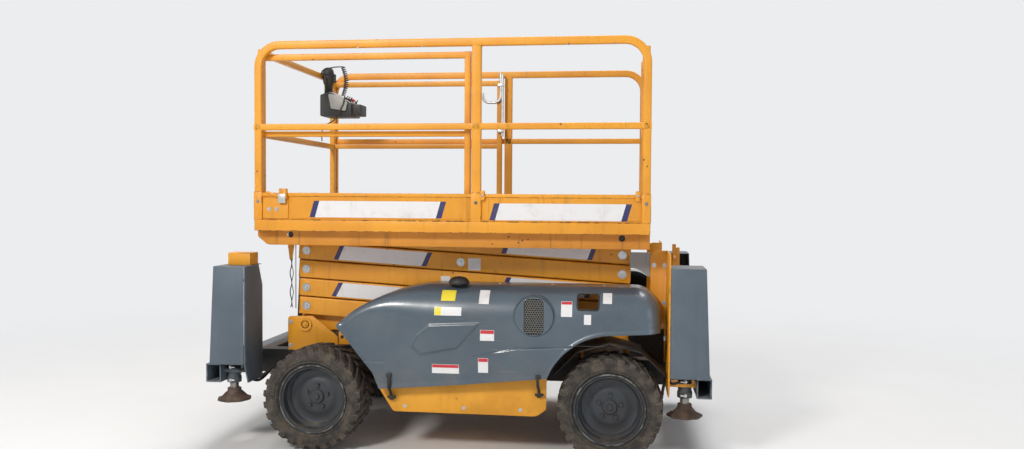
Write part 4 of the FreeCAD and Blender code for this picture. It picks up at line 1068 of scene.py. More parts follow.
def vent_reach(turn):
    """Distance from the vent's middle to the edge of its chamfered opening."""
    across, up = abs(math.cos(turn)), abs(math.sin(turn))
    corner = VENT_HALF_WIDTH + VENT_HALF_HEIGHT - VENT_CHAMFER
    sides = VENT_HALF_WIDTH / max(across, 1e-6), VENT_HALF_HEIGHT / max(up, 1e-6)
    return min(*sides, corner / (across + up))


def vent_spot(x, reach, depth, z, turn):
    return (VENT_X + x + reach * math.cos(turn), depth, VENT_Z + z + reach * math.sin(turn))


def vent_boss():
    """Round boss with a groove near its rim and a chamfered opening."""
    part = bmesh.new()
    rows = ((0.130, 0.780), (0.130, 0.868), (0.1275, 0.8745), (0.1235, 0.8745), (0.122, 0.871),
            (0.121, 0.8865),
            (0.118, 0.8905), (0.113, VENT_FACE), (None, VENT_FACE), (None, 0.868))
    rings = []
    for radius, depth in rows:
        reaches = [max(radius, vent_reach(t) + 0.0006) if radius else vent_reach(t)
                   for t in circle(96)]
        spots = [vent_spot(0, reach, depth, 0, t) for reach, t in zip(reaches, circle(96))]
        rings.append([part.verts.new(spot) for spot in spots])
    for ring, following in zip(rings, rings[1:]):
        bridge(part, ring, following)
    return Form().take(part)


def vent_mesh():
    """Wire of six-sided cells behind the vent's opening."""
    pitch = 0.0150
    cell = pitch / math.sqrt(3)
    part = bmesh.new()
    for row in range(-8, 9):
        for place in range(-5, 6):
            x, z = (place + 0.5 * (row % 2)) * pitch, row * (pitch * math.sqrt(3) / 2)
            if math.hypot(x, z) > vent_reach(math.atan2(z, x)) + 0.003:
                continue
            rings = [
                [part.verts.new(vent_spot(x, radius, depth, z, t)) for t in circle(6, 0.5)]
                for radius,
                depth in ((cell, 0.8865), (cell - 0.0020, 0.8875), (cell - 0.0024, 0.8790))
            ]
            for ring, following in zip(rings, rings[1:]):
                bridge(part, ring, following)
    return Form().take(part)


# Painted shade: a black sheet behind the vent's mesh, for the shade inside the opening
def vent_backing():
    rows = [[vent_spot(0, vent_reach(turn), depth, 0,
                       turn) for turn in circle(48)] for depth in (0.8645, 0.869)]
    return Form().take(slab(rows))


def hood_line(points, section, out=0.0, spacing=0.012, closed=True):
    """A section carried along points that are seen from the side and lie on the cover."""
    path = [Vector((x, hood_side(x, z) + out, z)) for x, z in dense(points, spacing, closed)]
    return swept(path, section)


def window_frame():
    """Dark lip round the window, which follows the cover's roll."""
    outline = rectangle(*WINDOW_X, 0.934, 1.028, 0.018)
    return Form().take(hood_line(outline, tube_section(0.007, 0.016, 0.003, 2), 0.0005, 0.008))


def hood_seams():
    """Narrow dark strips round the raised panel and along the crease: painted shade for the edges of these shapes.
    """
    inset = [(x - x * 0.04, z + (0.736 - z) * 0.12) for x, z in PANEL]
    form = Form().take(hood_line(inset, tube_section(0.0024, 0.0032, 0.0008, 1), -0.0002))
    crease = [(x, z + 0.001) for x, z in CREASE]
    return form.take(hood_line(crease, tube_section(0.0024, 0.0026, 0.0008, 1), -0.0002,
                               closed=False))


def hood_patch(x0, x1, z0, z1, lift):
    """A film that lies on the cover."""
    part = bmesh.new()
    across, up = 10, 8
    rings = []
    for x in (x0 + (x1 - x0) * i / across for i in range(across + 1)):
        row = [z0 + (z1 - z0) * j / up for j in range(up + 1)]
        rings.append([part.verts.new((x, hood_side(x, z) + lift, z)) for z in row])
    for ring, following in zip(rings, rings[1:]):
        bridge(part, ring, following, closed=False)
    return Form().take(part)


def latch(x, low, high):
    """Rubber strap with a pull bar, hooked over a keeper on the tray."""
    top = hood_side(x, high)
    path = smooth_path([(x, 0.814, low), (x, 0.846, low + 0.045),
                        (x, top + 0.013, (low + high) / 2),
                        (x, top + 0.012, high)], [0.06, 0.06], 5)
    form = Form().take(swept(path, tube_section(0.019, 0.008, 0.003), (1, 0, 0)))
    form.take(block((x - 0.016, top - 0.001, high - 0.018), (x + 0.016, top + 0.017, high + 0.008)),
              0.005, 3)
    form.take(bar((x - 0.027, 0.818, low + 0.004), (x + 0.027, 0.818, low + 0.004), 0.009, 20,
                  0.003))
    form.take(block((x - 0.015, 0.8135, low - 0.014), (x + 0.015, 0.8225, low + 0.012)), 0.003, 2)
    return form


def intake_form():
    """Mushroom cap of the air intake with ribs under its brim."""
    x, y = 0.036, 0.748
    profile = [(0, 1.0625), (0.034, 1.0625), (0.034, 1.073), (0.058, 1.072), (0.0635, 1.0725),
               (0.066, 1.076),
               (0.066, 1.084), (0.063, 1.090), (0.055, 1.101), (0.043, 1.111), (0.027, 1.116),
               (0.012, 1.117),
               (0, 1.117)]
    form = Form().take(lathe(profile, (x, y, 0), (0, 0, 1), 48))
    for turn in circle(12):
        c, s = math.cos(turn), math.sin(turn)
        ends = [Vector((x + reach * c, y + reach * s, 1.070)) for reach in (0.034, 0.062)]
        form.take(swept(ends, tube_section(0.003, 0.008, 0.001, 1), (-s, c, 0)))
    return form.take(bar((x, y, 1.115), (x, y, 1.1195), 0.008, 6, 0.001))


FILM_LIFT, FILM_OVER = 0.0012, 0.0018  # how far films stand off the cover, and off it on another film
# blank films on the near hood: (name, finish, x from, x to, z from, z to, lift)
HOOD_FILMS = (
    ("yellow_square", YELLOW_FILM, -0.061, 0.029, 0.972, 1.033, FILM_LIFT),
    ("white_row", WHITE_FILM, -0.097, 0.074, 0.884, 0.936, FILM_LIFT),
    ("yellow_corner", YELLOW_FILM, -0.095, -0.055, 0.886, 0.934, FILM_OVER),
    ("white_tall", WHITE_FILM, 0.180, 0.243, 0.958, 1.037, FILM_LIFT),
    ("white_low", WHITE_FILM, 0.195, 0.283, 0.735, 0.801, FILM_LIFT),
    ("red_low", RED_FILM, 0.197, 0.281, 0.778, 0.799, FILM_OVER),
    ("white_foot_left", WHITE_FILM, -0.107, 0.064, 0.524, 0.581, FILM_LIFT),
    ("red_foot_left", RED_FILM, -0.105, 0.062, 0.560, 0.579, FILM_OVER),
    ("white_foot_right", WHITE_FILM, 0.184, 0.247, 0.536, 0.627, FILM_LIFT),
    ("red_foot_right", RED_FILM, 0.186, 0.245, 0.604, 0.625, FILM_OVER),
    ("white_vent", WHITE_FILM, 0.693, 0.761, 0.893, 0.984, FILM_LIFT),
    ("red_vent", RED_FILM, 0.695, 0.759, 0.966, 0.982, FILM_OVER),
    ("white_under_window", WHITE_FILM, 0.834, 0.877, 0.848, 0.908, FILM_LIFT),
    ("white_right", WHITE_FILM, 0.947, 1.002, 0.975, 1.035, FILM_LIFT),
)


def hoods():
    """The covers and what is fixed to them, drawn on the far side and moved over for the near one."""
    for side_name, side in SIDES:
        body = "hood_" + side_name
        shell = hood_shell().take(block((-0.070, 0.520, 1.002), (1.120, 0.526, 1.064)), 0.001, 1)
        latches = latch(-0.382, 0.345, 0.505).add(latch(0.558, 0.392, 0.528))
        bolts = Form()
        for x in (-0.02, 0.28, 0.62, 0.95):
            bolts.add(bolt_head(Vector((x, 0.62, 1.0645)), (0, 0, 1), 0.008, 0.006))
        for part, form, finish, slot, replaced, smooth in (
            ("_shell", shell, HOOD_COVER, "hood_grey", [body], 40),
            ("_vent", vent_boss(), HOOD_COVER, "hood_grey", (), 36),
            ("_vent_mesh", vent_mesh(), MESH_WIRE_PAINTED_HIGHLIGHT, "black_plastic", ["vent_grille_" + side_name],
             36),
            ("_vent_shadow_sheet", vent_backing(), BLACK_PARTS_AND_HOLE_SHADE, "black_plastic", (), 36),
            ("_window", window_frame(), BLACK_PLASTIC, "black_plastic", (), 60),
            ("_shade_lines", hood_seams(), SHADE_LINE_GREY, "hood_grey", (), 36),
            ("_latches", latches, BLACK_PARTS_AND_HOLE_SHADE, "black_plastic", (), 36),
            ("_bolts", bolts, ZINC, "hood_grey", (), 36),
        ):
            piece(body + part, form.flip() if side == NEAR else form, finish, body, replaced,
                  smooth)
    cap = intake_form().flip()
    piece("intake_mushroom", cap, BLACK_PLASTIC, "hood_near", ["intake_cap"])
    for name, film, *place in HOOD_FILMS:
        piece("film_" + name, hood_patch(*place).flip(), film, "hood_near")


# Films on the arms and toe boards

FILM_THICK = 0.0008
ARM_FACE_Y, BOARD_FACE_Y = -0.4472, -0.7602


def film_form(corners, y):
    """A thin film on a face that looks to the near side, with its (x, z) corners from low left."""
    return prism("xz", corners, y, y - FILM_THICK)


def arm_banner(level, x0, x1, lean):
    """White film with navy ends along the outer face of an outer arm; lean shifts its top."""
    start, stop = RIGHT[level - 1], LEFT[level]

    def at(x, off):
        share = (x - start.x) / (stop.x - start.x)
        return Vector((x, start.z + (stop.z - start.z) * share + off))

    low0, low1, top1, top0 = at(x0, -0.047), at(x1, -0.047), at(x1 + lean, 0.049), at(x0 + lean,
                                                                                      0.049)
    navy = 0.032 / (x1 - x0)
    white, ends = Form(), Form()
    for form, a, b in ((ends, 0, navy), (white, navy, 1 - navy), (ends, 1 - navy, 1)):
        corners = [low0.lerp(low1, a), low0.lerp(low1, b), top0.lerp(top1, b), top0.lerp(top1, a)]
        form.take(film_form(corners, ARM_FACE_Y))
    body = "outer_arms_" + str(level)
    piece("banner_" + str(level), white, WHITE_FILM, body)
    piece("banner_ends_" + str(level), ends, NAVY_FILM, body)


def board_banner(name, x0, x1, z0, z1):
    """White film with navy ends on the near toe board."""
    lean, navy = 0.030, 0.036
    white, ends = Form(), Form()
    for form, a, b in ((white, x0 + navy, x1 - navy), (ends, x0, x0 + navy), (ends, x1 - navy, x1)):
        corners = [(a, z0), (b, z0), (b + lean, z1), (a + lean, z1)]
        form.take(prism("xz", corners, BOARD_FACE_Y - FILM_THICK, BOARD_FACE_Y))
    piece("board_film_" + name, white, WHITE_FILM, "platform")
    piece("board_film_ends_" + name, ends, NAVY_FILM, "platform")


def arm_film(name, body, x0, x1, z0, z1):
    corners = [(x0, z0), (x1, z0), (x1, z1), (x0, z1)]
    form = Form().take(prism("xz", corners, ARM_FACE_Y - FILM_THICK, ARM_FACE_Y))
    piece("film_" + name, form, WHITE_FILM, body)


def films():
    for level, x0, x1, lean in (
        (4, -0.889, -0.247, 0.042), (2, -0.905, -0.240, 0.050), (5, 0.262, 0.863, 0.035),
        (3, 0.255, 0.842, 0.045),
    ):
        arm_banner(level, x0, x1, lean)
    board_banner("left", -0.944, -0.077, 1.484, 1.590)
    board_banner("right", 0.230, 1.088, 1.476, 1.582)
    arm_film("arm_left", "outer_arms_3", -0.145, -0.083, 1.020, 1.090)
    arm_film("arm_right", "outer_arms_4", 0.040, 0.124, 1.132, 1.212)


# Guard rails

def straight_tube(form, start, stop, width, height, normal, radius=0.007):
    """A box tube between two points; its width lies along normal."""
    form.take(swept([Vector(start), Vector(stop)], tube_section(width, height, radius), normal))


def weld(form, low, high, bead=0.003):
    """A bead round the place where a tube of this box meets another."""
    form.take(block([v - bead for v in low], [v + bead for v in high]), bead * 0.9, 2)


def side_rail(side):
    """Bent top rail with its posts in sockets, a middle post and a mid rail."""
    form = Form()
    y, foot, top, bend = side * 0.751, 1.464, 2.592, 0.140
    front, rear, middle, mid_z = -1.288, 1.205, 0.145, 2.065
    corners = [(front, y, foot), (front, y, top), (rear, y, top), (rear, y, foot)]
    form.take(swept(smooth_path(corners, [bend, bend], 10), tube_section(0.042, 0.050, 0.009),
                    (0, 1, 0)))
    straight_tube(form, (middle, y, foot), (middle, y, top - 0.020), 0.042, 0.060, (0, 1, 0), 0.008)
    straight_tube(form, (front + 0.02, y, mid_z), (rear - 0.02, y, mid_z), 0.0415, 0.040, (0, 1, 0))
    for x in (front, middle, rear):
        half = 0.033 if x == middle else 0.028
        form.take(block((x - half, y - 0.0235, 1.466), (x + half, y + 0.0235, 1.646)), 0.003, 2)
        weld(form, (x - half + 0.004, y - 0.021, 1.647), (x + half - 0.004, y + 0.021, 1.648),
             0.0015)
    for x in (front, middle, rear):
        half = 0.030 if x == middle else 0.025
        weld(form, (x - half - 0.001, y - 0.0195, mid_z - 0.0195),
             (x + half + 0.001, y + 0.0195, mid_z + 0.0195), 0.0015)
    weld(form, (middle - 0.030, y - 0.0195, top - 0.027), (middle + 0.030, y + 0.0195, top - 0.025),
         0.002)
    return form


def rear_rail(side):
    form = Form()
    x, gate_y, post_y = 1.205, side * 0.351, side * 0.740
    straight_tube(form, (x, gate_y, 1.466), (x, gate_y, 2.617), 0.050, 0.042, (1, 0, 0))
    for z in (2.432, 2.065):
        straight_tube(form, (x, gate_y, z), (x, post_y, z), 0.042, 0.040, (1, 0, 0))
    return form


def guard_rails():
    form = Form()
    for side in (NEAR, FAR):
        form.add(side_rail(side)).add(rear_rail(side))
    piece("platform_tubes", form, ORANGE, "platform", ["platform_rails"])
    clips = Form()
    for x in (-1.02, -0.62, -0.20, 0.33, 0.72, 1.0):
        clips.take(block((x - 0.004, -0.7745, 2.560), (x + 0.004, -0.7715, 2.574)), 0.001, 1)
    for x in (-1.288, 0.145, 1.205):
        for side in (NEAR, FAR):
            clips.add(bolt_head(Vector((x, side * 0.7743, 1.585)), (0, side, 0), 0.0075, 0.006))
    piece("rail_clips", clips, WORN_STEEL, "platform")


def extension_tubes():
    form = Form()
    front, rear, floor = -1.289, 0.080, 1.478
    for y in (-0.701, 0.701):
        for start, stop, width, height in (
            ((front, y, floor), (front, y, 2.572), 0.042, 0.040),
            ((rear, y, floor), (rear, y, 2.540), 0.042, 0.040),
            ((front, y, 2.520), (0.099, y, 2.520), 0.0415, 0.040),
            ((front, y, 2.0225), (rear, y, 2.0225), 0.0405, 0.035),
        ):
            straight_tube(form, start, stop, width, height, (0, 1, 0))
    for z in (2.552, 2.020):
        straight_tube(form, (front, -0.720, z), (front, 0.720, z), 0.0395, 0.040, (1, 0, 0))
    piece("extension_tubes", form, ORANGE, "extension", ["extension_rails"])
    rod, x, y = round_section(0.0105, 14), 0.092, 0.667
    handle = Form().take(swept([Vector((0.106, y, 2.585)), Vector((0.106, y, 2.10))], rod))
    hook = [(-0.050, y, 2.44), (-0.050, y, 2.365), (x, y, 2.365), (x, y, 2.600)]
    handle.take(swept(smooth_path(hook, [0.05, 0.05], 8), rod))
    for z in (2.14, 2.50):
        handle.take(block((0.070, y - 0.013, z - 0.012), (0.118, y + 0.014, z + 0.012)), 0.003, 2)
    piece("extension_handle", handle, ZINC, "extension")


def deck_floor():
    """Rolled tread over the whole floor, thin enough to pass under the extension."""
    form = Form().take(block((-1.311, -0.7285, 1.46602), (1.228, 0.7285, 1.46620)))
    piece("deck_tread", form, TREAD, "platform")
    low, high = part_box("extension_deck")
    top = Form().take(block((low.x + 0.021, low.y + 0.003, 1.47845),
                            (high.x - 0.002, high.y - 0.003, 1.4787)))
    piece("extension_tread", top, TREAD, "extension")


TOE_CLIPS = (0.188, 1.152)


def platform_details():
    """Latch and joint plates of the toe board, and what hangs below the left end."""
    plates = Form()
    plate = rounded([(-1.258, 1.474, 0.004), (-1.086, 1.474, 0.004), (-1.086, 1.604, 0.006),
                     (-1.258, 1.604, 0.006)], 3)
    plates.take(prism("xz", plate, -0.7665, -0.7595), 0.0015)
    plates.take(block((-1.143, -0.785, 1.600), (-1.090, -0.757, 1.668)), 0.004, 2)
    wedge = [(-1.243, 1.643), (-1.225, 1.652), (-1.143, 1.622), (-1.143, 1.606)]
    plates.take(prism("xz", wedge, -0.774, -0.762), 0.002)
    for x in TOE_CLIPS:
        plates.take(block((x - 0.014, -0.779, 1.600), (x + 0.014, -0.757, 1.662)), 0.003, 2)
    for x0, x1 in ((0.176, 1.176), (-1.084, 0.112)):
        plates.take(block((x0, -0.7675, 1.468), (x1, -0.7595, 1.4745)), 0.0015, 1)
    piece("latch_plates", plates, ORANGE, "platform")
    steel = Form().take(block((-1.146, -0.7895, 1.575), (-1.096, -0.7845, 1.634)), 0.003, 2)
    for x in (-1.214, -1.163):
        steel.add(bolt_head(Vector((x, -0.7662, 1.535)), (0, -1, 0), 0.009, 0.006))
    for x in TOE_CLIPS:
        steel.take(bar((x, -0.785, 1.632), (x, -0.774, 1.632), 0.008, 16, 0.002))
    piece("latch_steel", steel, ZINC, "platform")
    tag = [(-1.201, 1.300), (-1.152, 1.300), (-1.166, 1.190), (-1.186, 1.185)]
    strap = Form().take(prism("xz", tag, -0.489, -0.484), 0.002)
    strap.take(block((-1.196, -0.489, 1.298), (-1.158, -0.484, 1.418)), 0.001, 1)
    piece("hanging_tag", strap, ORANGE, "platform")
    cords = Form()
    flat, round_cord = tube_section(0.010, 0.004, 0.001, 1), round_section(0.0028, 8)
    for x, swing, y, section in ((-1.178, 0.006, -0.486, flat),
                                 (-1.166, -0.005, -0.4875, round_cord)):
        path = [Vector((x + swing * math.sin(k * 0.55), y, 1.195 - 0.0115 * k)) for k in range(30)]
        cords.take(swept(path, section))
    piece("hanging_cords", cords, HOSE, "platform")
    edge = Form().take(block((-1.149, -0.487, 0.855), (-1.139, -0.4845, 1.418)), 0.0008, 1)
    piece("hanging_strip", edge, ZINC, "platform")
    # Painted shade: black discs in the skirts' holes, for the dark inside them
    hole_shades = Form()
    for x in (-1.097, 1.058):
        hole_shades.take(bar((x, 0.676, 1.368), (x, 0.6915, 1.368), 0.0196, 28, 0.003))
    piece("skirt_hole_shades", hole_shades.mirror(), BLACK_PARTS_AND_HOLE_SHADE, "platform")


def control_details():
    """Operator's box: a dark body with a pale panel, switches, a stick with its gaiter, and a cable."""
    front, high, inner, outer = -1.265, 2.235, 0.330, 0.560
    body = Form()
    outline = rounded([(front, high, 0.012), (front, high + 0.165, 0.012),
                       (front + 0.075, high + 0.188, 0.014),
                       (front + 0.250, high + 0.095, 0.016), (front + 0.250, high, 0.014)], 4)
    body.take(prism("xz", outline, inner, outer), 0.005, 3)
    for y in (inner + 0.036, outer - 0.036):
        hook = [(front + 0.030, y, high + 0.150), (front + 0.030, y, high + 0.300),
                (front - 0.002, y, high + 0.340)]
        body.take(swept(smooth_path(hook, [0.03], 5), tube_section(0.014, 0.010, 0.003), (0, 1, 0)))
    piece("control_body", body, BLACK_PLASTIC, "extension", ["control_box"])
    base = Vector((front + 0.075, 0, high + 0.188))
    slope = (Vector((front + 0.250, 0, high + 0.095)) - base).normalized()
    out = Vector((-slope.z, 0, slope.x))
    panel = Form()
    path = [base + slope * 0.012 + out * 0.002, base + slope * 0.186 + out * 0.002]
    panel.take(swept([p + Vector((0, (inner + outer) / 2, 0)) for p in path],
                     tube_section(0.214, 0.007, 0.003), (0, 1, 0)))
    side_plate = rounded([(-1.172, 2.292, 0.01), (-1.058, 2.272, 0.01), (-1.043, 2.336, 0.012),
                          (-1.104, 2.388, 0.012),
                          (-1.196, 2.406, 0.01)], 3)
    panel.take(prism("xz", side_plate, inner - 0.019, inner - 0.0005), 0.002, 2)
    piece("control_panel", panel, PALE_GREY, "extension")
    knobs = Form()
    for step, y in ((0.13, 0.37), (0.13, 0.42), (0.13, 0.47), (0.165, 0.37), (0.165, 0.52)):
        spot = base + slope * step + out * 0.005 + Vector((0, y, 0))
        knobs.take(bar(spot, spot + out * 0.014, 0.010, 20, 0.002))
        knobs.take(bar(spot + out * 0.012, spot + out * 0.032 + slope * 0.006, 0.004, 12, 0.001))
    root = Vector((-1.228, 0.430, 2.398))
    gaiter = [(0, 0), (0.046, 0)]
    for fold in range(5):
        size = 0.045 - 0.004 * fold
        gaiter += [(size, 0.008 + fold * 0.012), (size - 0.007, 0.014 + fold * 0.012)]
    gaiter.append((0, 0.066))
    knobs.take(lathe(gaiter, root, (0, 0, 1), 28))
    grip = [(0, 0.060), (0.024, 0.060), (0.031, 0.080), (0.040, 0.104), (0.045, 0.140),
            (0.045, 0.176), (0.041, 0.200),
            (0.030, 0.217), (0.014, 0.223), (0, 0.224)]
    knobs.take(lathe(grip, root, (-0.03, 0, 1), 32))
    knobs.take(block((root.x + 0.036, 0.418, root.z + 0.105),
                     (root.x + 0.056, 0.442, root.z + 0.172)), 0.008, 3)
    knobs.take(block((-1.018, 0.345, 2.242), (-0.946, 0.500, 2.326)), 0.008, 3)
    piece("control_knobs", knobs, BLACK_PARTS_AND_HOLE_SHADE, "extension")
    stop_button = Form()
    spot = base + slope * 0.150 + out * 0.005 + Vector((0, 0.475, 0))
    stop_button.take(lathe([(0, 0), (0.010, 0), (0.010, 0.010), (0.019, 0.012), (0.020, 0.018),
                            (0.016, 0.024), (0, 0.026)],
                           spot, out, 28))
    piece("control_stop", stop_button, RED_FILM, "extension")
    coil = []
    turns, steps = 15, 14
    for step in range(turns * steps + 1):
        turn = 2 * math.pi * step / steps
        share = step / (turns * steps)
        coil.append(Vector((front + 0.196 + 0.024 * math.sin(math.pi * share) + 0.014
                            * math.cos(turn),
                            inner - 0.034 + 0.014 * math.sin(turn), high + 0.150 + 0.215 * share)))
    cable = Form().take(swept(coil, round_section(0.0038, 8)))
    tail = [coil[0], (front + 0.188, inner - 0.030, high + 0.08),
            (front + 0.120, inner - 0.020, high - 0.03),
            (front + 0.030, inner + 0.020, high - 0.07),
            (front + 0.010, inner + 0.020, high - 0.12),
            (front + 0.008, inner + 0.020, 2.045)]
    cable.take(hose(tail, 0.0045, 8))
    over = [coil[-1], (-1.075, 0.300, 2.606), (-1.150, 0.315, 2.606), (-1.235, 0.330, 2.590),
            (-1.262, 0.345, 2.560)]
    cable.take(hose(over, 0.0045, 8))
    piece("control_cable", cable, HOSE, "extension")


# Jacks and what stands beside them

FOOT_PROFILE = (
    (0, 0), (0.090, 0), (0.106, 0.003), (0.1105, 0.009), (0.108, 0.015), (0.090, 0.020),
    (0.070, 0.031),
    (0.054, 0.046), (0.046, 0.058), (0.043, 0.070), (0.044, 0.078), (0.040, 0.082), (0, 0.082),
)


def jack(end, side_name):
    """Foot and rod of a jack; gives back its place seen from above."""
    corner = end + "_" + side_name
    body = "jack_" + corner
    low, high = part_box("jack_leg_" + corner)
    x, y = (low.x + high.x) / 2, (low.y + high.y) / 2
    z = low.z
    foot = Form().take(lathe(FOOT_PROFILE, (x, y, z), (0, 0, 1), 64))
    for point in foot.points:
        if math.hypot(point.x - x, point.y - y) > 0.085:
            lobe = 1 - 0.055 * (0.5 - 0.5 * math.cos(8 * math.atan2(point.y - y, point.x - x)))
            point.x, point.y = x + (point.x - x) * lobe, y + (point.y - y) * lobe
    rib = [(0.036, 0.062), (0.052, 0.058), (0.094, 0.016), (0.040, 0.010)]
    for index in range(4):
        turn = math.pi / 2 * index + 0.6
        c, s = math.cos(turn), math.sin(turn)
        rows = [[(x + c * r - s * w, y + s * r + c * w, z + h) for r,
                 h in rib] for w in (-0.004, 0.004)]
        foot.take(slab(rows), 0.0015, 1)
    piece(body + "_foot", foot, FOOT_IRON, body, ["jack_leg_" + corner])
    rod = Form().take(bar((x, y, z + 0.079), (x, y, high.z), 0.0275, 36))
    piece(body + "_rod", rod, WORN_STEEL, body)
    return x, y


def jack_barrels(end, places):
    """Round barrels with their hydraulic fittings and hoses."""
    node = end + "_jack_barrels"
    bottom, top = (corner.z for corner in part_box(node))
    profile = [(0.0287, bottom), (0.044, bottom), (0.046, bottom + 0.003), (0.046, bottom + 0.036),
               (0.0415, bottom + 0.041), (0.0415, top - 0.002), (0.040, top), (0.0287, top)]
    form, fittings, hoses = Form(), Form(), Form()
    for x, y in places:
        form.take(lathe(profile, (x, y, 0), (0, 0, 1), 48))
        out = Vector((0, math.copysign(1, y), 0))
        inward = Vector((-math.copysign(1, x), 0, 0))
        for z in (bottom + 0.020, bottom + 0.105):
            spot = Vector((x, y, z)) + out * 0.040
            fittings.take(bar(spot, spot + out * 0.020, 0.012, 6, 0.001))
            fittings.take(bar(spot + out * 0.018, spot + inward * 0.030 + out * 0.018, 0.008, 16,
                              0.001))
        start = Vector((x, y, bottom + 0.105)) + inward * 0.028 + out * 0.058
        drops = ((0, 0, 0), (0.060, 0, -0.010), (0.070, -0.05, 0.080), (0.060, -0.30, 0.060))
        hoses.take(hose([start + inward * a + out * b + Vector((0, 0, rise)) for a, b,
                         rise in drops], 0.0075))
    piece(end + "_barrels_round", form, JACK_GREY, "chassis", [node])
    piece(end + "_jack_fittings", fittings, ZINC, "chassis")
    piece(end + "_jack_hoses", hoses, HOSE, "chassis")


def jacks():
    for end in ENDS:
        jack_barrels(end, [jack(end, side_name) for side_name, _ in SIDES])


def bolts_at(places, y, radius, height):
    form = Form()
    for x, z in places:
        form.add(bolt_head(Vector((x, y, z)), (0, 1, 0), radius, height))
    return form


def chassis_details():
    pin = LEFT[0]
    ring = [(0.0305, 0.470), (0.047, 0.470), (0.047, 0.4795), (0.045, 0.4815), (0.0325, 0.4815),
            (0.0305, 0.4795)]
    rings = Form().take(lathe(ring, (pin.x, 0, pin.z), (0, 1, 0), 40))
    foot = [(-0.850, 0.700, 0), (-0.800, 0.698, 0.008), (-0.737, 0.633, 0.008),
            (-0.742, 0.614, 0.004),
            (-0.850, 0.612, 0)]
    rings.take(prism("xz", rounded(foot), 0.452, 0.461), 0.002)
    piece("foot_pin_rings", rings.mirror(), ORANGE, "chassis")
    # Painted shade: thin black discs on the brackets' holes, for the dark inside them
    hole_shade_discs = Form()
    for x, y, z, radius in (
        (-0.958, 0.4702, 0.703, 0.0115), (-0.826, 0.4612, 0.664, 0.012),
        (-0.793, 0.4612, 0.652, 0.007),
    ):
        hole_shade_discs.take(lathe([(0, 0), (radius, 0), (radius, 0.0006), (0, 0.0006)], (x, y, z), (0, 1, 0),
                         28))
    piece("bracket_hole_shade_discs", hole_shade_discs.mirror(), BLACK_PARTS_AND_HOLE_SHADE, "chassis")
    bolts = bolts_at(((-1.185, 0.600), (-1.185, 0.760), (-0.905, 0.600)), 0.4705, 0.010, 0.008)
    bolts.add(bolts_at([(x, z) for x in (1.262, 1.330) for z in (0.72, 0.95, 1.19)], 0.5095, 0.010,
                       0.008))
    bolts.add(bolts_at([(x, 0.292) for x in (-0.30, 0.08, 0.44)], 0.7995, 0.008, 0.006))
    piece("chassis_bolts", bolts.mirror(), ZINC, "chassis")
    flanges = Form()
    for end, inner, outer in (("front", -1.3335, -1.360), ("rear", 1.3535, 1.383)):
        low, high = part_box(end + "_jack_covers")
        leaned, top = outer - math.copysign(0.019, outer), high.z - 0.001
        corners = [(outer, low.z), (inner, low.z), (inner, top), (leaned, top)]
        flanges.take(prism("xz", corners, high.y - 0.0065, high.y - 0.0004), 0.001, 1)
    piece("cover_flanges", flanges.mirror(), COVER_GREY, "chassis")
    hoses = Form()
    for offset, sag in ((0, 0), (0.018, -0.014), (0.034, 0.010)):
        x = -1.400 + offset
        hoses.take(hose([(-1.395 + offset * 0.3, -0.520, 0.640), (x, -0.640, 0.560 + sag),
                         (x, -0.700, 0.450 + sag),
                         (-1.395 + offset, -0.560, 0.385 + sag), (-1.330, -0.440, 0.430)], 0.009))
    hoses.take(hose([(1.180, -0.500, 0.470), (1.255, -0.545, 0.330), (1.305, -0.560, 0.300),
                     (1.330, -0.560, 0.420),
                     (1.350, -0.620, 0.520)], 0.010))
    piece("chassis_hoses", hoses, HOSE, "chassis")
    curved = [(1.110, 1.272), (1.238, 1.272), (1.238, 1.112), (1.212, 1.126), (1.193, 1.143),
              (1.174, 1.156),
              (1.150, 1.165), (1.110, 1.170)]
    guard = Form().take(prism("xz", curved, -0.5045, -0.5015), 0.001, 1)
    piece("stack_end_plate", guard, GUARD_GREY, "chassis")


# Plain carried-over solids with rounded edges

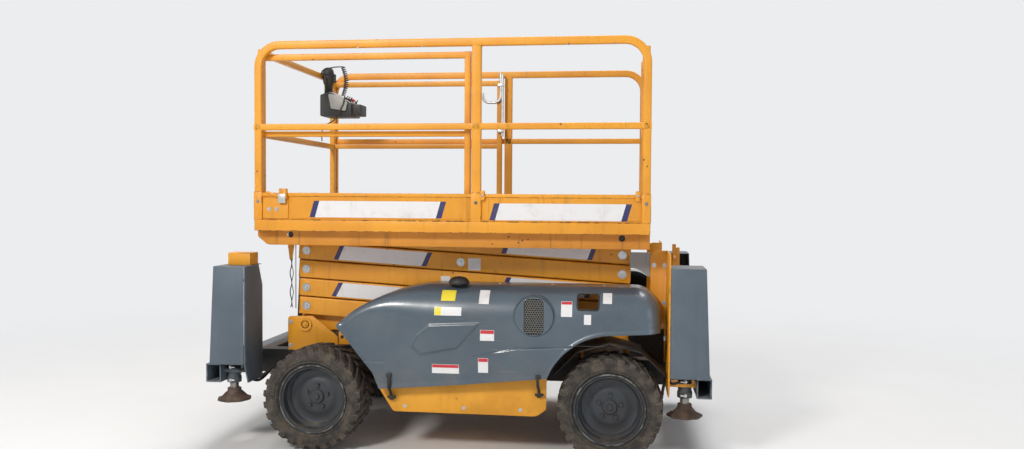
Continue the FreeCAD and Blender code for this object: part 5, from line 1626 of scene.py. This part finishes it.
CARRIED = (
    # node, finish, edge radius, material slot
    # the frame takes black as painted shade, for the deep shade between the front jack and the wheel
    ("chassis_frame", AXLE_BLACK_AND_FRAME_SHADE, 0.004, "axle_black"),
    ("scissor_brackets", ORANGE, 0.0025, "orange_paint"),
    ("chassis_tracks", ORANGE, 0.0015, "orange_paint"),
    ("front_axle", AXLE_BLACK_AND_FRAME_SHADE, 0.003, "axle_black"),
    ("rear_axle", AXLE_BLACK_AND_FRAME_SHADE, 0.003, "axle_black"),
    ("front_end_beam", COVER_GREY, 0.0025, "cover_grey"),
    ("rear_end_beam", COVER_GREY, 0.0025, "cover_grey"),
    ("side_trays", TRAY_ORANGE, 0.002, "orange_paint"),
    ("rear_mudguards", MUDGUARD_BLACK_AND_SHADE, 0.001, "axle_black"),
    ("rear_ladder", ORANGE, 0.003, "orange_paint"),
    ("engine_block", IRON, 0.012, "engine"),
    ("tank_block", TANK_PLASTIC, 0.02, "tank"),
    ("front_jack_mounts", COVER_GREY, 0.002, "cover_grey"),
    ("front_jack_caps", ORANGE, 0.004, "orange_paint"),
    ("rear_jack_mounts", ORANGE, 0.002, "orange_paint"),
    ("front_jack_covers", COVER_GREY, 0.0018, "cover_grey"),
    ("rear_jack_covers", COVER_GREY, 0.0018, "cover_grey"),
    ("knuckle_near", AXLE_BLACK_AND_FRAME_SHADE, 0.002, "axle_black"),
    ("knuckle_far", AXLE_BLACK_AND_FRAME_SHADE, 0.002, "axle_black"),
    ("tie_rod", AXLE_BLACK_AND_FRAME_SHADE, 0.001, "axle_black"),
    ("platform_deck", ORANGE, 0.003, "orange_paint"),
    # the skirts take the darker orange, painted shade
    ("platform_skirts", SHADED_SKIRT_ORANGE, 0.0015, "orange_paint"),
    ("platform_tracks", ORANGE, 0.0015, "orange_paint"),
    ("toe_boards", ORANGE, 0.0015, "orange_paint"),
    ("entry_gate", ORANGE, 0.003, "orange_paint"),
    ("extension_deck", ORANGE, 0.001, "floor_sheet"),
)


def carried_pieces():
    for node, finish, bevel, slot in CARRIED:
        piece(node + "_dressed", cad_copy(node, bevel), finish, BODY_OF[node], [node])


# Stage

def stage_floor():
    mesh = bpy.data.meshes.new("floor")
    size = 60
    corners = [(-size, -size, 0), (size, -size, 0), (size, size, 0), (-size, size, 0)]
    mesh.from_pydata(corners, [], [(0, 1, 2, 3)])
    mesh.materials.append(concrete())
    floor = bpy.data.objects.new("floor", mesh)
    bpy.context.scene.collection.objects.link(floor)


def world_light():
    world = bpy.data.worlds.new("studio")
    bpy.context.scene.world = world
    graph = Graph(world)
    lit = graph.node("Background", {}, {"Color": (0.92, 0.95, 1.0, 1), "Strength": 0.40})
    seen = graph.node("Background", {}, {"Color": BACKGROUND, "Strength": 1.0})
    joined = graph.node("MixShader", {}, {0: graph.background_seen(), 1: lit, 2: seen})
    graph.node("OutputWorld", {}, {"Surface": joined})


def lamp(name, place, target, size, power, colour=(1, 1, 1)):
    light = bpy.data.lights.new(name, "AREA")
    light.shape = "DISK"
    light.size = size
    light.energy = power
    light.color = colour
    made = bpy.data.objects.new(name, light)
    made.location = place
    made.rotation_euler = (Vector(target) - Vector(place)).to_track_quat("-Z", "Y").to_euler()
    bpy.context.scene.collection.objects.link(made)


def camera():
    """Stands where the photograph was taken from: place, heading, tilt and roll, and field of view."""
    place = Vector((1.083, -6.214, 1.6245))
    yaw, tilt, roll = math.radians(7.409), math.radians(-1.812), math.radians(0.3665)
    pixels_wide, focal_pixels, sensor = 1024, 878.7, 36
    ahead = Vector((-math.sin(yaw) * math.cos(tilt), math.cos(yaw) * math.cos(tilt),
                    math.sin(tilt)))
    right = Vector((math.cos(yaw), math.sin(yaw), 0))
    up = right.cross(ahead)
    across = right * math.cos(roll) + up * math.sin(roll)
    upright = up * math.cos(roll) - right * math.sin(roll)
    data = bpy.data.cameras.new("camera")
    data.sensor_width = sensor
    data.lens = focal_pixels / pixels_wide * sensor
    made = bpy.data.objects.new("camera", data)
    turn = Matrix((across, upright, -ahead)).transposed().to_4x4()
    made.matrix_world = Matrix.Translation(place) @ turn
    bpy.context.scene.collection.objects.link(made)
    bpy.context.scene.camera = made


def build():
    carried_pieces()
    for end in ENDS:
        for side_name, side in SIDES:
            wheel(end, side_name, side)
    for level in LEVELS:
        inner_pair(level)
        outer_pair(level)
    lift_cylinder()
    hoods()
    films()
    guard_rails()
    extension_tubes()
    deck_floor()
    platform_details()
    control_details()
    jacks()
    chassis_details()


build()
stage_floor()
world_light()
lamp("key", (-3.0, -7.4, 6.0), (0, 0, 1.1), 1.8, 450, (1, 0.97, 0.92))
lamp("fill", (5.5, -5.5, 3.0), (0, 0, 1.0), 4.0, 50, (0.94, 0.97, 1))
# High enough to light the raised platform no harder than the parked machine
lamp("top", (2.35, 9.41, 39.8), (0, 0, 1.0), 20.6, 11400)
camera()
bpy.context.scene.view_settings.view_transform = "Standard"
